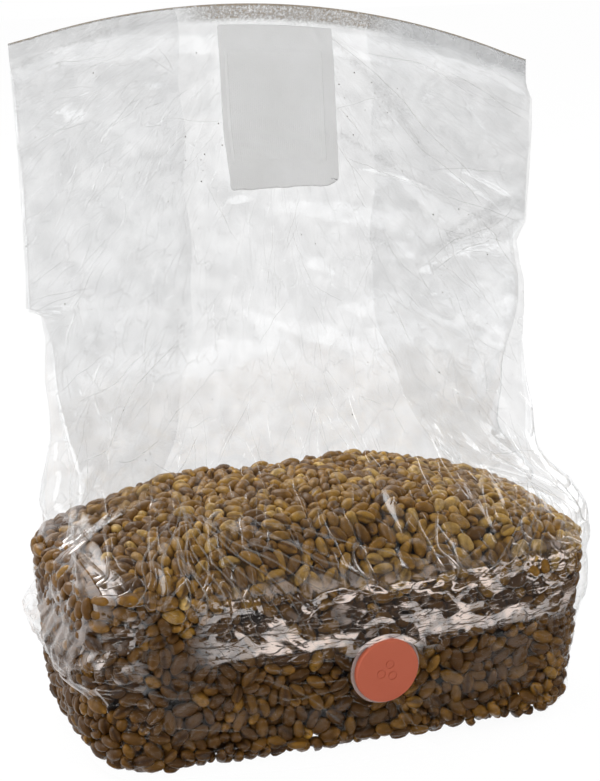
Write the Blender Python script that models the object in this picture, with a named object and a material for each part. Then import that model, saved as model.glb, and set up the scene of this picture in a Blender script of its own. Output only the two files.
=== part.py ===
"""Clear gusseted grain bag: a sealed film bag with a brick of cooked wheat in its foot,
a filter patch near its top seal and a round injection port on its front.

Metres, +Z up. The front, with the patch and the port, faces -Y. The origin is on the floor
under the middle of the bag's bounding box.

The bag is first described as if it stood straight: every height has one cross-section, a
rounded rectangle at the foot that closes to a flat, creased envelope above it. stand() then
leans, twists and droops that straight bag, and every piece on the film goes through it too.
"""

import math

import bmesh
import bpy
from mathutils import Matrix, Vector, noise
from mathutils.geometry import delaunay_2d_cdt

# The empty bag
BAG_WIDTH = 0.203  # between its two creased side edges
GUSSET_WIDTH = 0.127  # film folded into each side
FILM_WALL = 0.0003  # stands in for film of 0.08 mm
CREASE_RADIUS = 0.0007  # outer radius where a panel turns into its gusset
TUCK_RADIUS = 0.0004  # groove left at the inner fold of the gusset
SEAL_HEIGHT = 0.006  # weld along the top
SEAL_THICKNESS = 0.0014  # four layers welded together
BAG_HEIGHT = 0.2732  # floor to the middle of the top edge

# The foot, filled with grain
FOOT_SPREAD = 0.008  # longer than the flat bag is wide, at the shoulder
FOOT_TAPER = 0.011  # shorter by this at the floor
FOOT_SLACK = 0.025  # its corners stand closer than the opened gussets would let them
FOOT_BOW = 0.008  # how far the middle of each large panel stands out at the floor
FOOT_BELLY = 0.002  # and how much further where the belly is fullest
SHOULDER_HEIGHT = 0.0705  # where the film starts to turn in over the grain
BELLY_DROP = 0.013  # the fullest height lies this far below the shoulder
CORNER_RADIUS = 0.026
BOTTOM_RADIUS = 0.016

# The head, which is empty film
HEAD_THICKNESS = 0.0044  # of the closed envelope, crease to crease
HEAD_PILLOW = 0.004  # air left between the panels
COLLAPSE_HEIGHT = 0.042  # over which the foot's depth falls away
COLLAPSE_POWER = 1.5  # slow at the shoulder, fast above it
GUSSET_START = 0.022  # over which the gusset tucks in above the shoulder
HEAD_WAIST = 0.005  # film drawn in where the head closes
HEAD_SETBACK = 0.016  # the head stands behind the middle of the foot
HEAD_LEAN = 0.013  # and leans further back up to its seal
HEAD_SHIFT = -0.003  # sideways
HEAD_TWIST = math.radians(7.8)
CORNER_DROOP = 0.016  # the seal's corners hang below its middle
SIDE_DROOP = 0.0053  # the right corner hangs lower than the left one

# Grain
CLEARANCE = 0.0003  # air that every neighbour keeps
GRAIN_CLEARANCE = 0.0005  # air between the kernels' tips and the film
GRAIN_RISE = 0.019  # from the shoulder to the edge of the grain's top
GRAIN_CROWN = 0.003
GRAIN_LUMP = 0.0016  # depth of the hollows in its surface
LUMP_SIZE = 0.014
GRAIN_CORNER = 0.0182  # least radius of the brick's upright edges
CROWN_SHARES = (0.85, 0.65, 0.4, 0.15)  # rings of the crowned top, as shares of its edge

# Filter patch, welded over a window in the front panel
PATCH_WIDTH = 0.0445
PATCH_HEIGHT = 0.061
PATCH_THICKNESS = 0.0007
PATCH_CORNER = 0.004
PATCH_BELOW_SEAL = 0.0015
WELD_MARGIN = 0.0045  # flat welded rim around the breathing middle
WELD_STEP = 0.0003  # the middle stands this proud of the rim
WINDOW_RIM = 0.004  # film left under the weld, inside the patch's edge

# Injection port
PORT_DIAMETER = 0.0254
PORT_THICKNESS = 0.002
PORT_EDGE = 0.0005
PORT_X = 0.008
PORT_Z = 0.037
PAD_MARGIN = 0.0012  # clear adhesive disc seen around it
PAD_THICKNESS = 0.0004
PAD_EDGE = 0.0001
MARK_DIAMETER = 0.0036  # ring marks moulded in its face
MARK_WIDTH = 0.0004
MARK_DEPTH = 0.0002
MARK_OFFSET = 0.0028  # from the port's middle
MARK_COUNT = 3
MARK_TURN = math.radians(75)  # of the first mark, from the port's right

# Facets
PANEL_STEPS = 8
ARC_STEPS = 5
LEG_STEPS = 3
HEAD_STEPS = 18
HEAD_SPACING = 1.8  # brings the head's rings closer together at the shoulder
BELLY_STEPS = 3
BOTTOM_STEPS = 3
SEAL_STEPS = 12
ROUND_STEPS = 48
CORNER_STEPS = 4
PATCH_GRID = (4, 6)
WINDOW_GRID = (4, 6)
GRAIN_FACET = 0.011
SMOOTH_ANGLE = math.radians(35)

FOOT_LENGTH = BAG_WIDTH + FOOT_SPREAD
FOOT_DEPTH = GUSSET_WIDTH - FOOT_SLACK
BELLY_HEIGHT = SHOULDER_HEIGHT - BELLY_DROP
GRAIN_HEIGHT = SHOULDER_HEIGHT + GRAIN_RISE
SEAL_BASE = BAG_HEIGHT - SEAL_HEIGHT
HEAD_RISE = SEAL_BASE - SHOULDER_HEIGHT


def mix(low, high, share):
    return low + (high - low) * share


def smooth(share):
    share = min(max(share, 0.0), 1.0)
    return share * share * (3.0 - 2.0 * share)


def head_share(z):
    """0 at the shoulder and below, 1 at the seal."""
    return min(max((z - SHOULDER_HEIGHT) / HEAD_RISE, 0.0), 1.0)


def fullness(z):
    """1 where grain holds the bag open, falling to 0 where the head is flat."""
    rise = max(z - SHOULDER_HEIGHT, 0.0)
    return math.exp(-((rise / COLLAPSE_HEIGHT) ** COLLAPSE_POWER))


def section(z):
    """Half length, half depth, corner radius and gusset depth of the straight bag."""
    full = fullness(z)
    half_depth = mix(HEAD_THICKNESS, FOOT_DEPTH, full) / 2
    foot_length = FOOT_LENGTH - FOOT_TAPER * max(1 - z / SHOULDER_HEIGHT, 0.0)
    waist = HEAD_WAIST * 4 * math.sqrt(full) * (1 - math.sqrt(full))
    half_length = mix(BAG_WIDTH, foot_length, full) / 2 - waist
    corner = mix(CREASE_RADIUS, CORNER_RADIUS, full * full)
    corner = min(corner, (half_depth - TUCK_RADIUS) / 2)
    leg = GUSSET_WIDTH / 2
    tuck = math.sqrt(max(leg * leg - half_depth * half_depth, 0.0))
    tuck *= smooth((z - SHOULDER_HEIGHT) / GUSSET_START)
    return half_length, half_depth, corner, tuck


def bow(z):
    """How far the middle of a large panel stands out at this height."""
    low = min(max((z - BOTTOM_RADIUS) / (BELLY_HEIGHT - BOTTOM_RADIUS), 0.0), 1.0)
    share = head_share(z)
    foot = (FOOT_BOW + FOOT_BELLY * low) * fullness(z) ** 2
    return foot + HEAD_PILLOW * 4 * share * (1 - share)


def panel_y(x, z, inset=0.0):
    """Distance of a large panel from the bag's middle plane."""
    half_length, half_depth, corner, _ = section(z)
    reach = half_length - corner
    return half_depth - inset + bow(z) * (1 - (x / reach) ** 2)


def arc(centre, radius, start, end, steps):
    angles = [mix(start, end, i / steps) for i in range(steps + 1)]
    return [centre + Vector((math.cos(t), math.sin(t))) * radius for t in angles]


def side_outline(z, inset):
    """The right side from the front panel to the back one: crease, gusset, tuck and back.

    The gusset runs along the common tangent of the crease's circle and the tuck's, so the
    wall keeps its thickness when the outline is drawn again with an inset.
    """
    half_length, half_depth, corner, tuck = section(z)
    crease = Vector((half_length - corner, corner - half_depth))
    inner = Vector((half_length - tuck + TUCK_RADIUS, 0.0))
    across = inner - crease
    turn = math.atan2(across.y, across.x) - math.acos((corner + TUCK_RADIUS) / across.length)
    first = arc(crease, corner - inset, -math.pi / 2, turn, ARC_STEPS)
    fold = arc(inner, TUCK_RADIUS + inset, turn - math.pi, -math.pi, 1)
    leg = [first[-1].lerp(fold[0], i / LEG_STEPS) for i in range(1, LEG_STEPS)]
    front = first + leg + fold
    back = [Vector((p.x, -p.y)) for p in reversed(front[:-1])]
    return front + back


def outline(z, inset=0.0):
    """The straight bag's outline at height z, counter-clockwise seen from above."""
    side = side_outline(z, inset)
    reach = side[0].x
    half = PANEL_STEPS // 2
    xs = [reach * i / half for i in range(-half + 1, half)]
    front = [Vector((x, -panel_y(x, z, inset))) for x in xs]
    back = [Vector((x, panel_y(x, z, inset))) for x in reversed(xs)]
    left = [Vector((-p.x, p.y)) for p in reversed(side)]
    return front + side + back + left


def stand(x, y, z):
    """Move a point of the straight bag to where it is in the standing one."""
    share = head_share(z)
    angle = -HEAD_TWIST * smooth(share)
    side = x / (BAG_WIDTH / 2)
    back = HEAD_SETBACK * (1 - fullness(z)) + HEAD_LEAN * share
    drop = (CORNER_DROOP * side * side + SIDE_DROOP * side) * share * share
    return Vector(
        (
            x * math.cos(angle) - y * math.sin(angle) + HEAD_SHIFT * smooth(share),
            x * math.sin(angle) + y * math.cos(angle) + back,
            z - drop,
        )
    )


def new_material(name, colour, roughness, alpha=1.0):
    material = bpy.data.materials.new(name)
    material.use_nodes = True
    shader = material.node_tree.nodes["Principled BSDF"]
    shader.inputs["Base Color"].default_value = (*colour, 1.0)
    shader.inputs["Roughness"].default_value = roughness
    shader.inputs["Metallic"].default_value = 0.0
    shader.inputs["Alpha"].default_value = alpha
    material.diffuse_color = (*colour, alpha)
    return material


def new_object(name, mesh, parent, material=None):
    obj = bpy.data.objects.new(name, mesh)
    bpy.context.scene.collection.objects.link(obj)
    obj.parent = parent
    if material:
        mesh.materials.append(material)
    return obj


def as_it_is(x, y, z):
    return Vector((x, y, z))


def close_end(bm, loop, flip):
    """Close a flat end with short triangles, so that it still follows the film once bent."""
    if len(loop) == 4:
        faces = [[0, 1, 2, 3]]
    else:
        outline_points = [v.co.xy for v in loop]
        ring = list(range(len(loop)))
        faces = delaunay_2d_cdt(outline_points, [], [ring], 1, 1e-9)[2]
    for face in faces:
        corners = [loop[i] for i in face]
        bm.faces.new(reversed(corners) if flip else corners)


def loft(name, rings, bend=as_it_is):
    """A closed mesh through rings of equal count, with flat ends, bent once it is closed."""
    bm = bmesh.new()
    loops = [[bm.verts.new(p) for p in ring] for ring in rings]
    count = len(loops[0])
    for low, high in zip(loops, loops[1:]):
        for i in range(count):
            j = (i + 1) % count
            bm.faces.new((low[i], low[j], high[j], high[i]))
    close_end(bm, loops[0], flip=True)
    close_end(bm, loops[-1], flip=False)
    for vert in bm.verts:
        vert.co = bend(*vert.co)
    mesh = bpy.data.meshes.new(name)
    bm.to_mesh(mesh)
    bm.free()
    return mesh


def cutter(obj):
    obj.hide_render = True
    obj.display_type = "WIRE"
    return obj


def combine(obj, other, operation):
    modifier = obj.modifiers.new(other.name, "BOOLEAN")
    modifier.operation = operation
    modifier.solver = "EXACT"
    modifier.object = other


def bottom_levels(wall):
    """Height and inset of each ring that rounds the bottom edge, for a wall this deep."""
    radius = BOTTOM_RADIUS - wall
    angles = [math.pi / 2 * i / BOTTOM_STEPS for i in range(BOTTOM_STEPS + 1)]
    return [
        (BOTTOM_RADIUS - radius * math.cos(t), wall + radius * (1 - math.sin(t))) for t in angles
    ]


def foot_levels(steps):
    return [mix(BOTTOM_RADIUS, BELLY_HEIGHT, i / steps) for i in range(1, steps + 1)]


def head_levels():
    """Heights from the shoulder to the seal, closer together where the film turns in."""
    shares = [(i / HEAD_STEPS) ** HEAD_SPACING for i in range(HEAD_STEPS + 1)]
    return sorted([SHOULDER_HEIGHT + HEAD_RISE * share for share in shares] + [GRAIN_HEIGHT])


def bag_rings(wall):
    """Rings of the bag's skin, or of its hollow when wall is the film's thickness."""
    heights = foot_levels(BELLY_STEPS) + head_levels()
    levels = bottom_levels(wall) + [(z, wall) for z in heights]
    rings = [[Vector((p.x, p.y, z)) for p in outline(z, inset)] for z, inset in levels]
    rings[-1] = [p - Vector((0.0, 0.0, wall)) for p in rings[-1]]
    return rings


def seal_rings():
    """The weld: a thin strip across the whole width, following the drooping top edge."""
    rings = []
    half_length = section(SEAL_BASE)[0]
    half = SEAL_THICKNESS / 2
    low, high = SEAL_BASE - FILM_WALL / 2, BAG_HEIGHT
    corners = ((-half, low), (half, low), (half, high), (-half, high))
    for i in range(SEAL_STEPS + 1):
        x = mix(-half_length, half_length, i / SEAL_STEPS)
        rings.append([Vector((x, y, z)) for y, z in corners])
    return rings


def patch_middle():
    return SEAL_BASE - PATCH_BELOW_SEAL - PATCH_HEIGHT / 2


def on_front(x, z, out):
    """A point this far in front of the front panel."""
    return stand(x, -panel_y(x, z) - out, z)


def rounded_rectangle(width, height, radius, steps=CORNER_STEPS):
    corners = ((1, 1, 0), (-1, 1, 1), (-1, -1, 2), (1, -1, 3))
    points = []
    for side, up, quarter in corners:
        centre = Vector((side * (width / 2 - radius), up * (height / 2 - radius)))
        start = quarter * math.pi / 2
        points += arc(centre, radius, start, start + math.pi / 2, steps)
    return points


def patch_rings():
    """Rings that close on the patch's middle: back, rim, step and the raised middle."""
    inner = 2 * WELD_MARGIN
    outer_size = (PATCH_WIDTH, PATCH_HEIGHT, PATCH_CORNER)
    inner_size = (PATCH_WIDTH - inner, PATCH_HEIGHT - inner, PATCH_CORNER / 2)
    step_size = (inner_size[0] - 2 * WELD_STEP, inner_size[1] - 2 * WELD_STEP, PATCH_CORNER / 2)
    back = CLEARANCE
    front = back + PATCH_THICKNESS
    layers = (
        (outer_size, back),
        (outer_size, front),
        (inner_size, front),
        (step_size, front + WELD_STEP),
    )
    return [(rounded_rectangle(*size), out) for size, out in layers]


def subdivided_plate(name, layers, size, grid):
    """A plate around the patch's middle, cut into a grid before it is laid on the film."""
    bm = bmesh.new()
    loops = [[bm.verts.new((p.x, out, p.y)) for p in ring] for ring, out in layers]
    count = len(loops[0])
    for low, high in zip(loops, loops[1:]):
        for i in range(count):
            j = (i + 1) % count
            bm.faces.new((low[i], low[j], high[j], high[i]))
    bm.faces.new(reversed(loops[0]))
    bm.faces.new(loops[-1])
    across, up = Vector((1.0, 0.0, 0.0)), Vector((0.0, 0.0, 1.0))
    for normal, length, steps in zip((across, up), size, grid):
        for i in range(1, steps):
            at = normal * mix(-length / 2, length / 2, i / steps)
            geometry = bm.verts[:] + bm.edges[:] + bm.faces[:]
            bmesh.ops.bisect_plane(bm, geom=geometry, dist=1e-7, plane_co=at, plane_no=normal)
    bmesh.ops.triangulate(bm, faces=bm.faces)
    for vert in bm.verts:
        x, out, z = vert.co
        vert.co = on_front(x, patch_middle() + z, out)
    mesh = bpy.data.meshes.new(name)
    bm.to_mesh(mesh)
    bm.free()
    return mesh


def make_film(parent):
    material = new_material("clear_film", (0.80, 0.81, 0.81), 0.12, alpha=0.3)
    film = new_object("bag_film", loft("bag_film", bag_rings(0.0), stand), parent, material)
    seal = cutter(new_object("top_weld", loft("top_weld", seal_rings(), stand), parent))
    hollow = cutter(new_object("hollow", loft("hollow", bag_rings(FILM_WALL), stand), parent))
    window = cutter(new_object("window", window_mesh(), parent))
    combine(film, seal, "UNION")
    combine(film, hollow, "DIFFERENCE")
    combine(film, window, "DIFFERENCE")
    return film


def window_mesh():
    """A block through the front panel behind the patch, narrower than the patch's weld."""
    size = (PATCH_WIDTH - 2 * WINDOW_RIM, PATCH_HEIGHT - 2 * WINDOW_RIM)
    ring = rounded_rectangle(*size, PATCH_CORNER / 2)
    depth = 2 * FILM_WALL
    return subdivided_plate("window", [(ring, -depth), (ring, depth)], size, WINDOW_GRID)


def grain_outline(z, inset):
    """A rounded rectangle inside the film that stops short of the gusset's tuck."""
    half_length, half_depth, corner, tuck = section(z)
    gap = FILM_WALL + GRAIN_CLEARANCE + inset
    length = half_length - tuck - gap
    depth = half_depth - gap
    radius = min(max(corner, GRAIN_CORNER), half_depth) - gap
    points = []
    for side, up, quarter in ((1, -1, 3), (1, 1, 0), (-1, 1, 1), (-1, -1, 2)):
        centre = Vector((side * (length - radius), up * (depth - radius)))
        start = quarter * math.pi / 2
        points += arc(centre, radius, start, start + math.pi / 2, ARC_STEPS)
    return split_sides(points)


def split_sides(points):
    """Cut the four straight sides between the corners' arcs, into as many at every height."""
    per_corner = ARC_STEPS + 1
    result = []
    for corner, length in enumerate((FOOT_DEPTH, FOOT_LENGTH, FOOT_DEPTH, FOOT_LENGTH)):
        end = (corner + 1) * per_corner
        result += points[end - per_corner : end]
        here, there = points[end - 1], points[end % len(points)]
        pieces = max(int(length / GRAIN_FACET), 2)
        result += [here.lerp(there, i / pieces) for i in range(1, pieces)]
    return result


def grain_levels():
    """The film's own levels up to the grain's top, so that their facets run side by side."""
    gap = FILM_WALL + GRAIN_CLEARANCE
    bottom = [(z, inset - gap) for z, inset in bottom_levels(gap)]
    above = foot_levels(2 * BELLY_STEPS) + [z for z in head_levels() if z <= GRAIN_HEIGHT]
    return bottom + [(z, 0.0) for z in above]


def make_grain(parent):
    """The packed kernels as one lumpy solid whose surface lies at their tips."""
    rings = []
    for z, inset in grain_levels():
        ring = []
        middle = stand(0.0, 0.0, z)
        for p in grain_outline(z, inset):
            place = stand(p.x, p.y, z)
            dip = GRAIN_LUMP * max(noise.noise(place / LUMP_SIZE), 0.0)
            inward = (middle - place).normalized()
            ring.append(place + inward * dip)
        rings.append(ring)
    crown = []
    last = rings[-1]
    middle = sum(last, Vector()) / len(last)
    for share in CROWN_SHARES:
        lift = GRAIN_CROWN * (1 - share * share)
        ring = []
        for p in last:
            place = middle.lerp(p, share)
            dip = GRAIN_LUMP * max(noise.noise(place / LUMP_SIZE), 0.0)
            ring.append(place + Vector((0.0, 0.0, lift - dip)))
        crown.append(ring)
    material = new_material("cooked_wheat", (0.27, 0.16, 0.07), 0.5)
    return new_object("grain", loft("grain", rings + crown), parent, material)


def make_patch(parent):
    material = new_material("filter_fleece", (0.62, 0.62, 0.61), 0.75)
    size = (PATCH_WIDTH, PATCH_HEIGHT)
    mesh = subdivided_plate("filter_patch", patch_rings(), size, PATCH_GRID)
    return new_object("filter_patch", mesh, parent, material)


def port_frame():
    """Place and turn of the port: its axis is the front panel's own normal there."""
    reach = PORT_DIAMETER / 2
    along_x = on_front(PORT_X + reach, PORT_Z, 0.0) - on_front(PORT_X - reach, PORT_Z, 0.0)
    along_z = on_front(PORT_X, PORT_Z + reach, 0.0) - on_front(PORT_X, PORT_Z - reach, 0.0)
    out = along_x.cross(along_z).normalized()
    right = along_x.normalized()
    up = out.cross(right)
    turn = Matrix((right, up, out)).transposed()
    return on_front(PORT_X, PORT_Z, 0.0), out, turn


def disc(name, diameter, thickness, edge):
    """A disc that stands on z = 0, with its front edge rounded off."""
    radius = diameter / 2
    profile = [(radius, 0.0), (radius, thickness - edge), (radius - edge, thickness)]
    turns = [2 * math.pi * i / ROUND_STEPS for i in range(ROUND_STEPS)]
    rings = [[Vector((r * math.cos(t), r * math.sin(t), z)) for t in turns] for r, z in profile]
    return loft(name, rings)


def ring_mark(name, diameter, width, depth):
    """A washer that cuts one round mark."""
    bm = bmesh.new()
    outer, inner = diameter / 2, diameter / 2 - width
    corners = ((outer, -depth), (outer, depth), (inner, depth), (inner, -depth))
    steps = ROUND_STEPS // 2
    loops = []
    for i in range(steps):
        t = 2 * math.pi * i / steps
        loops.append([bm.verts.new((r * math.cos(t), r * math.sin(t), z)) for r, z in corners])
    for i in range(steps):
        here, there = loops[i], loops[(i + 1) % steps]
        for k in range(4):
            m = (k + 1) % 4
            bm.faces.new((here[k], there[k], there[m], here[m]))
    bmesh.ops.recalc_face_normals(bm, faces=bm.faces)
    mesh = bpy.data.meshes.new(name)
    bm.to_mesh(mesh)
    bm.free()
    return mesh


def make_port(parent):
    place, out, turn = port_frame()
    clear = new_material("clear_adhesive", (0.75, 0.72, 0.71), 0.2, alpha=0.5)
    red = new_material("red_silicone", (0.42, 0.107, 0.06), 0.5)
    pad_mesh = disc("adhesive_pad", PORT_DIAMETER + 2 * PAD_MARGIN, PAD_THICKNESS, PAD_EDGE)
    port_mesh = disc("injection_port", PORT_DIAMETER, PORT_THICKNESS, PORT_EDGE)
    pad = new_object("adhesive_pad", pad_mesh, parent, clear)
    pad.location = place + out * CLEARANCE
    port = new_object("injection_port", port_mesh, parent, red)
    port.location = place + out * (2 * CLEARANCE + PAD_THICKNESS)
    for obj in (pad, port):
        obj.rotation_mode = "QUATERNION"
        obj.rotation_quaternion = turn.to_quaternion()
    for i in range(MARK_COUNT):
        t = MARK_TURN + 2 * math.pi * i / MARK_COUNT
        mark = ring_mark(f"ring_mark_{i + 1}", MARK_DIAMETER, MARK_WIDTH, MARK_DEPTH)
        mark = cutter(new_object(mark.name, mark, port))
        mark.location = (MARK_OFFSET * math.cos(t), MARK_OFFSET * math.sin(t), PORT_THICKNESS)
        combine(port, mark, "DIFFERENCE")
    return pad, port


def shade(obj):
    obj.data.shade_smooth()
    obj.data.set_sharp_from_angle(angle=SMOOTH_ANGLE)


def world_corners(objects):
    bpy.context.view_layer.update()
    graph = bpy.context.evaluated_depsgraph_get()
    points = []
    for obj in objects:
        evaluated = obj.evaluated_get(graph)
        points += [evaluated.matrix_world @ v.co for v in evaluated.data.vertices]
    low = [min(p[k] for p in points) for k in range(3)]
    high = [max(p[k] for p in points) for k in range(3)]
    return low, high


def main():
    for obj in list(bpy.data.objects):
        bpy.data.objects.remove(obj, do_unlink=True)
    origin = bpy.data.objects.new("bag_origin", None)
    bpy.context.scene.collection.objects.link(origin)
    film = make_film(origin)
    grain = make_grain(origin)
    patch = make_patch(origin)
    pad, port = make_port(origin)
    pieces = (film, grain, patch, pad, port)
    for obj in pieces:
        shade(obj)
    low, high = world_corners(pieces)
    origin.location = (-(low[0] + high[0]) / 2, -(low[1] + high[1]) / 2, -low[2])
    bpy.context.view_layer.update()


main()
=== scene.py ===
# %% [markdown]
# # A mushroom grow bag
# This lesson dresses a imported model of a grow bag: a clear gusseted film bag, welded shut, that
# stands on a brick of cooked wheat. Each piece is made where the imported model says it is, in
# metres, with +Z up and the front facing -Y.

import math

import bpy
import numpy as np
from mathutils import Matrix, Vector
from mathutils.bvhtree import BVHTree
from mathutils.kdtree import KDTree


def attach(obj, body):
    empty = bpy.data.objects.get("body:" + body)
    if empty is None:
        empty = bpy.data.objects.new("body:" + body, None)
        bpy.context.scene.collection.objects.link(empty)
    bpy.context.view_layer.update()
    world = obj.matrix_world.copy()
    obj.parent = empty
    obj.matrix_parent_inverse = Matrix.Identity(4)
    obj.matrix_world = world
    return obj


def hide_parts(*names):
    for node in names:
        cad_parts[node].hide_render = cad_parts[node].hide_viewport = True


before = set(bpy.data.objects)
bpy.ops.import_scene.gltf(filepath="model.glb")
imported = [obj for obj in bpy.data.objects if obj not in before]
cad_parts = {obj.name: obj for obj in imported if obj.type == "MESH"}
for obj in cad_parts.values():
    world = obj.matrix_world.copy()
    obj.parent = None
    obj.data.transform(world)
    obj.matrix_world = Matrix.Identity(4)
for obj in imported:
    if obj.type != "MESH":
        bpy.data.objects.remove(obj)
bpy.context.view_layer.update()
print("packed nodes:", sorted(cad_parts))

# %% [markdown]
# ## The sizes of the bag
# The bag is a flat tube of film, 203 mm wide, with 127 mm folded into each side. The grain in its
# foot opens it to a rounded box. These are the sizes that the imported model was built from, so the
# film made here lies where its solid lies.

# %% Sizes in metres
MM = 0.001
BAG_WIDTH = 0.203
GUSSET_WIDTH = 0.127
CREASE_RADIUS = 0.0007
TUCK_RADIUS = 0.0004
SEAL_HEIGHT = 0.006
BAG_HEIGHT = 0.2732
FOOT_LENGTH = 0.211
FOOT_TAPER = 0.011
FOOT_DEPTH = 0.102
FOOT_BOW = 0.008
FOOT_BELLY = 0.002
BELLY_HEIGHT = 0.0575
SHOULDER_HEIGHT = 0.0705
CORNER_RADIUS = 0.026
BOTTOM_RADIUS = 0.016
HEAD_THICKNESS = 0.0044
HEAD_PILLOW = 0.004
COLLAPSE_HEIGHT = 0.042
COLLAPSE_POWER = 1.5
GUSSET_START = 0.022
HEAD_WAIST = 0.005
HEAD_SETBACK = 0.016
HEAD_LEAN = 0.013
HEAD_SHIFT = -0.003
HEAD_TWIST = math.radians(7.8)
CORNER_DROOP = 0.016
SIDE_DROOP = 0.0053
PATCH_WIDTH = 0.0445
PATCH_HEIGHT = 0.061
PATCH_CORNER = 0.004
PATCH_BELOW_SEAL = 0.0015
PORT_DIAMETER = 0.0254
PORT_X = 0.008
PORT_Z = 0.037

SEAL_BASE = BAG_HEIGHT - SEAL_HEIGHT
HEAD_RISE = SEAL_BASE - SHOULDER_HEIGHT
PATCH_Z = SEAL_BASE - PATCH_BELOW_SEAL - PATCH_HEIGHT / 2
CREASE_AT = BAG_WIDTH / 2  # across the film, from the middle of the front panel
TUCK_AT = CREASE_AT + GUSSET_WIDTH / 2
BACK_AT = CREASE_AT + GUSSET_WIDTH
print("film round the tube, mm:", round(2 * (BAG_WIDTH + GUSSET_WIDTH) / MM))

# %% [markdown]
# ## The shape of the film
# A bag like this could be draped by a cloth simulation, but its folds would then land anywhere.
# It is lofted instead: every height has one cross-section, a rounded box at the foot that turns
# into a flat envelope with its gussets tucked in. The loft is made straight, and `stand` then
# leans, twists and droops it.

# %% Cross-sections by height


def mix(low, high, share):
    return low + (high - low) * share


def smooth(share):
    share = np.clip(share, 0.0, 1.0)
    return share * share * (3.0 - 2.0 * share)


def rise(value, start, width):
    """0 up to start, 1 from start + width on, and smooth between."""
    return smooth((value - start) / width)


def head_share(z):
    return np.clip((z - SHOULDER_HEIGHT) / HEAD_RISE, 0.0, 1.0)


def fullness(z):
    return np.exp(-((np.maximum(z - SHOULDER_HEIGHT, 0.0) / COLLAPSE_HEIGHT) ** COLLAPSE_POWER))


def section(z):
    """Half length, half depth, corner radius and gusset depth at height z."""
    full = fullness(z)
    z = min(z, SEAL_BASE)
    half_depth = mix(HEAD_THICKNESS, FOOT_DEPTH, full) / 2
    foot_length = FOOT_LENGTH - FOOT_TAPER * max(1 - z / SHOULDER_HEIGHT, 0.0)
    waist = HEAD_WAIST * 4 * math.sqrt(full) * (1 - math.sqrt(full))
    half_length = mix(BAG_WIDTH, foot_length, full) / 2 - waist
    corner = min(mix(CREASE_RADIUS, CORNER_RADIUS, full * full), (half_depth - TUCK_RADIUS) / 2)
    leg = GUSSET_WIDTH / 2
    tuck = math.sqrt(max(leg * leg - half_depth * half_depth, 0.0))
    return half_length, half_depth, corner, tuck * rise(z, SHOULDER_HEIGHT, GUSSET_START)


def bow(z):
    low = np.clip((z - BOTTOM_RADIUS) / (BELLY_HEIGHT - BOTTOM_RADIUS), 0.0, 1.0)
    share = head_share(z)
    return (FOOT_BOW + FOOT_BELLY * low) * fullness(z) ** 2 + HEAD_PILLOW * 4 * share * (1 - share)


def stand(p):
    """Move points of the straight bag, an array (..., 3), to where they are in the standing one."""
    x, y, z = p[..., 0], p[..., 1], p[..., 2]
    share = head_share(z)
    angle = -HEAD_TWIST * smooth(share)
    side = x / (BAG_WIDTH / 2)
    back = HEAD_SETBACK * (1 - fullness(z)) + HEAD_LEAN * share
    drop = (CORNER_DROOP * side * side + SIDE_DROOP * side) * share * share
    moved = (
        x * np.cos(angle) - y * np.sin(angle) + HEAD_SHIFT * smooth(share),
        x * np.sin(angle) + y * np.cos(angle) + back + ORIGIN_Y,
        z - drop,
    )
    return np.stack(moved, axis=-1)


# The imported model's origin is under the middle of its box, a little off the loft's own middle.
ORIGIN_Y = 0.0013

# %% [markdown]
# ## Round one level
# A level is drawn as a quarter of the bag: the front panel from its middle to the crease, then one
# leg of the gusset from the crease to its tuck. It could be drawn all round, but mirroring a
# quarter keeps both sides equal. Small arcs stand at the creases, since film never folds to a
# knife edge.

# %% Points round one level


def spaced(points, count):
    """count + 1 points spread evenly along a line of points."""
    steps = np.hypot(*np.diff(points, axis=0).T)
    along = np.concatenate(([0.0], np.cumsum(steps)))
    wanted = np.linspace(0.0, along[-1], count + 1)
    return np.stack([np.interp(wanted, along, points[:, k]) for k in (0, 1)], axis=-1)


def arc(centre, radius, start, end, steps):
    t = np.linspace(start, end, steps + 1)
    return np.stack([centre[0] + radius * np.cos(t), centre[1] + radius * np.sin(t)], axis=-1)


def quarter(z, inset, side):
    """A front quarter of one level, right or left: the panel to its crease, then the leg."""
    half_length, half_depth, corner, tuck = section(z)
    tuck *= mix(0.76, 1.0, float(rise(z, 0.095, 0.085)))
    waver = 1.6 * MM * math.sin(z / 0.017 + 2.0 * side) * math.sin(z / 0.0093 + side)
    tuck += waver * float(head_share(z) > 0)
    reach = half_length - corner
    xs = np.linspace(0.0, reach, 40)
    panel = np.stack([xs, -(half_depth - inset + bow(z) * (1 - (xs / reach) ** 2))], axis=-1)
    crease = np.array((reach, corner - half_depth))
    inner = np.array((half_length - tuck + TUCK_RADIUS, 0.0))
    across = inner - crease
    opening = math.acos((corner + TUCK_RADIUS) / math.hypot(*across))
    turn = math.atan2(across[1], across[0]) - opening
    bend = arc(crease, corner - inset, -math.pi / 2, turn, 16)
    tip = inner - (TUCK_RADIUS + inset, 0.0)
    return np.concatenate((panel, bend[1:9])), np.concatenate((bend[8:], [tip]))

# %% [markdown]
# ## Levels up the bag
# The loft is a stack of such levels. They could stand at one distance, but they are closest where
# the bottom rounds off and where the foot turns into the head. A full bag rests on its lower edge
# and fills it, so the lowest levels are drawn in by only a share of the plain rounding.

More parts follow.
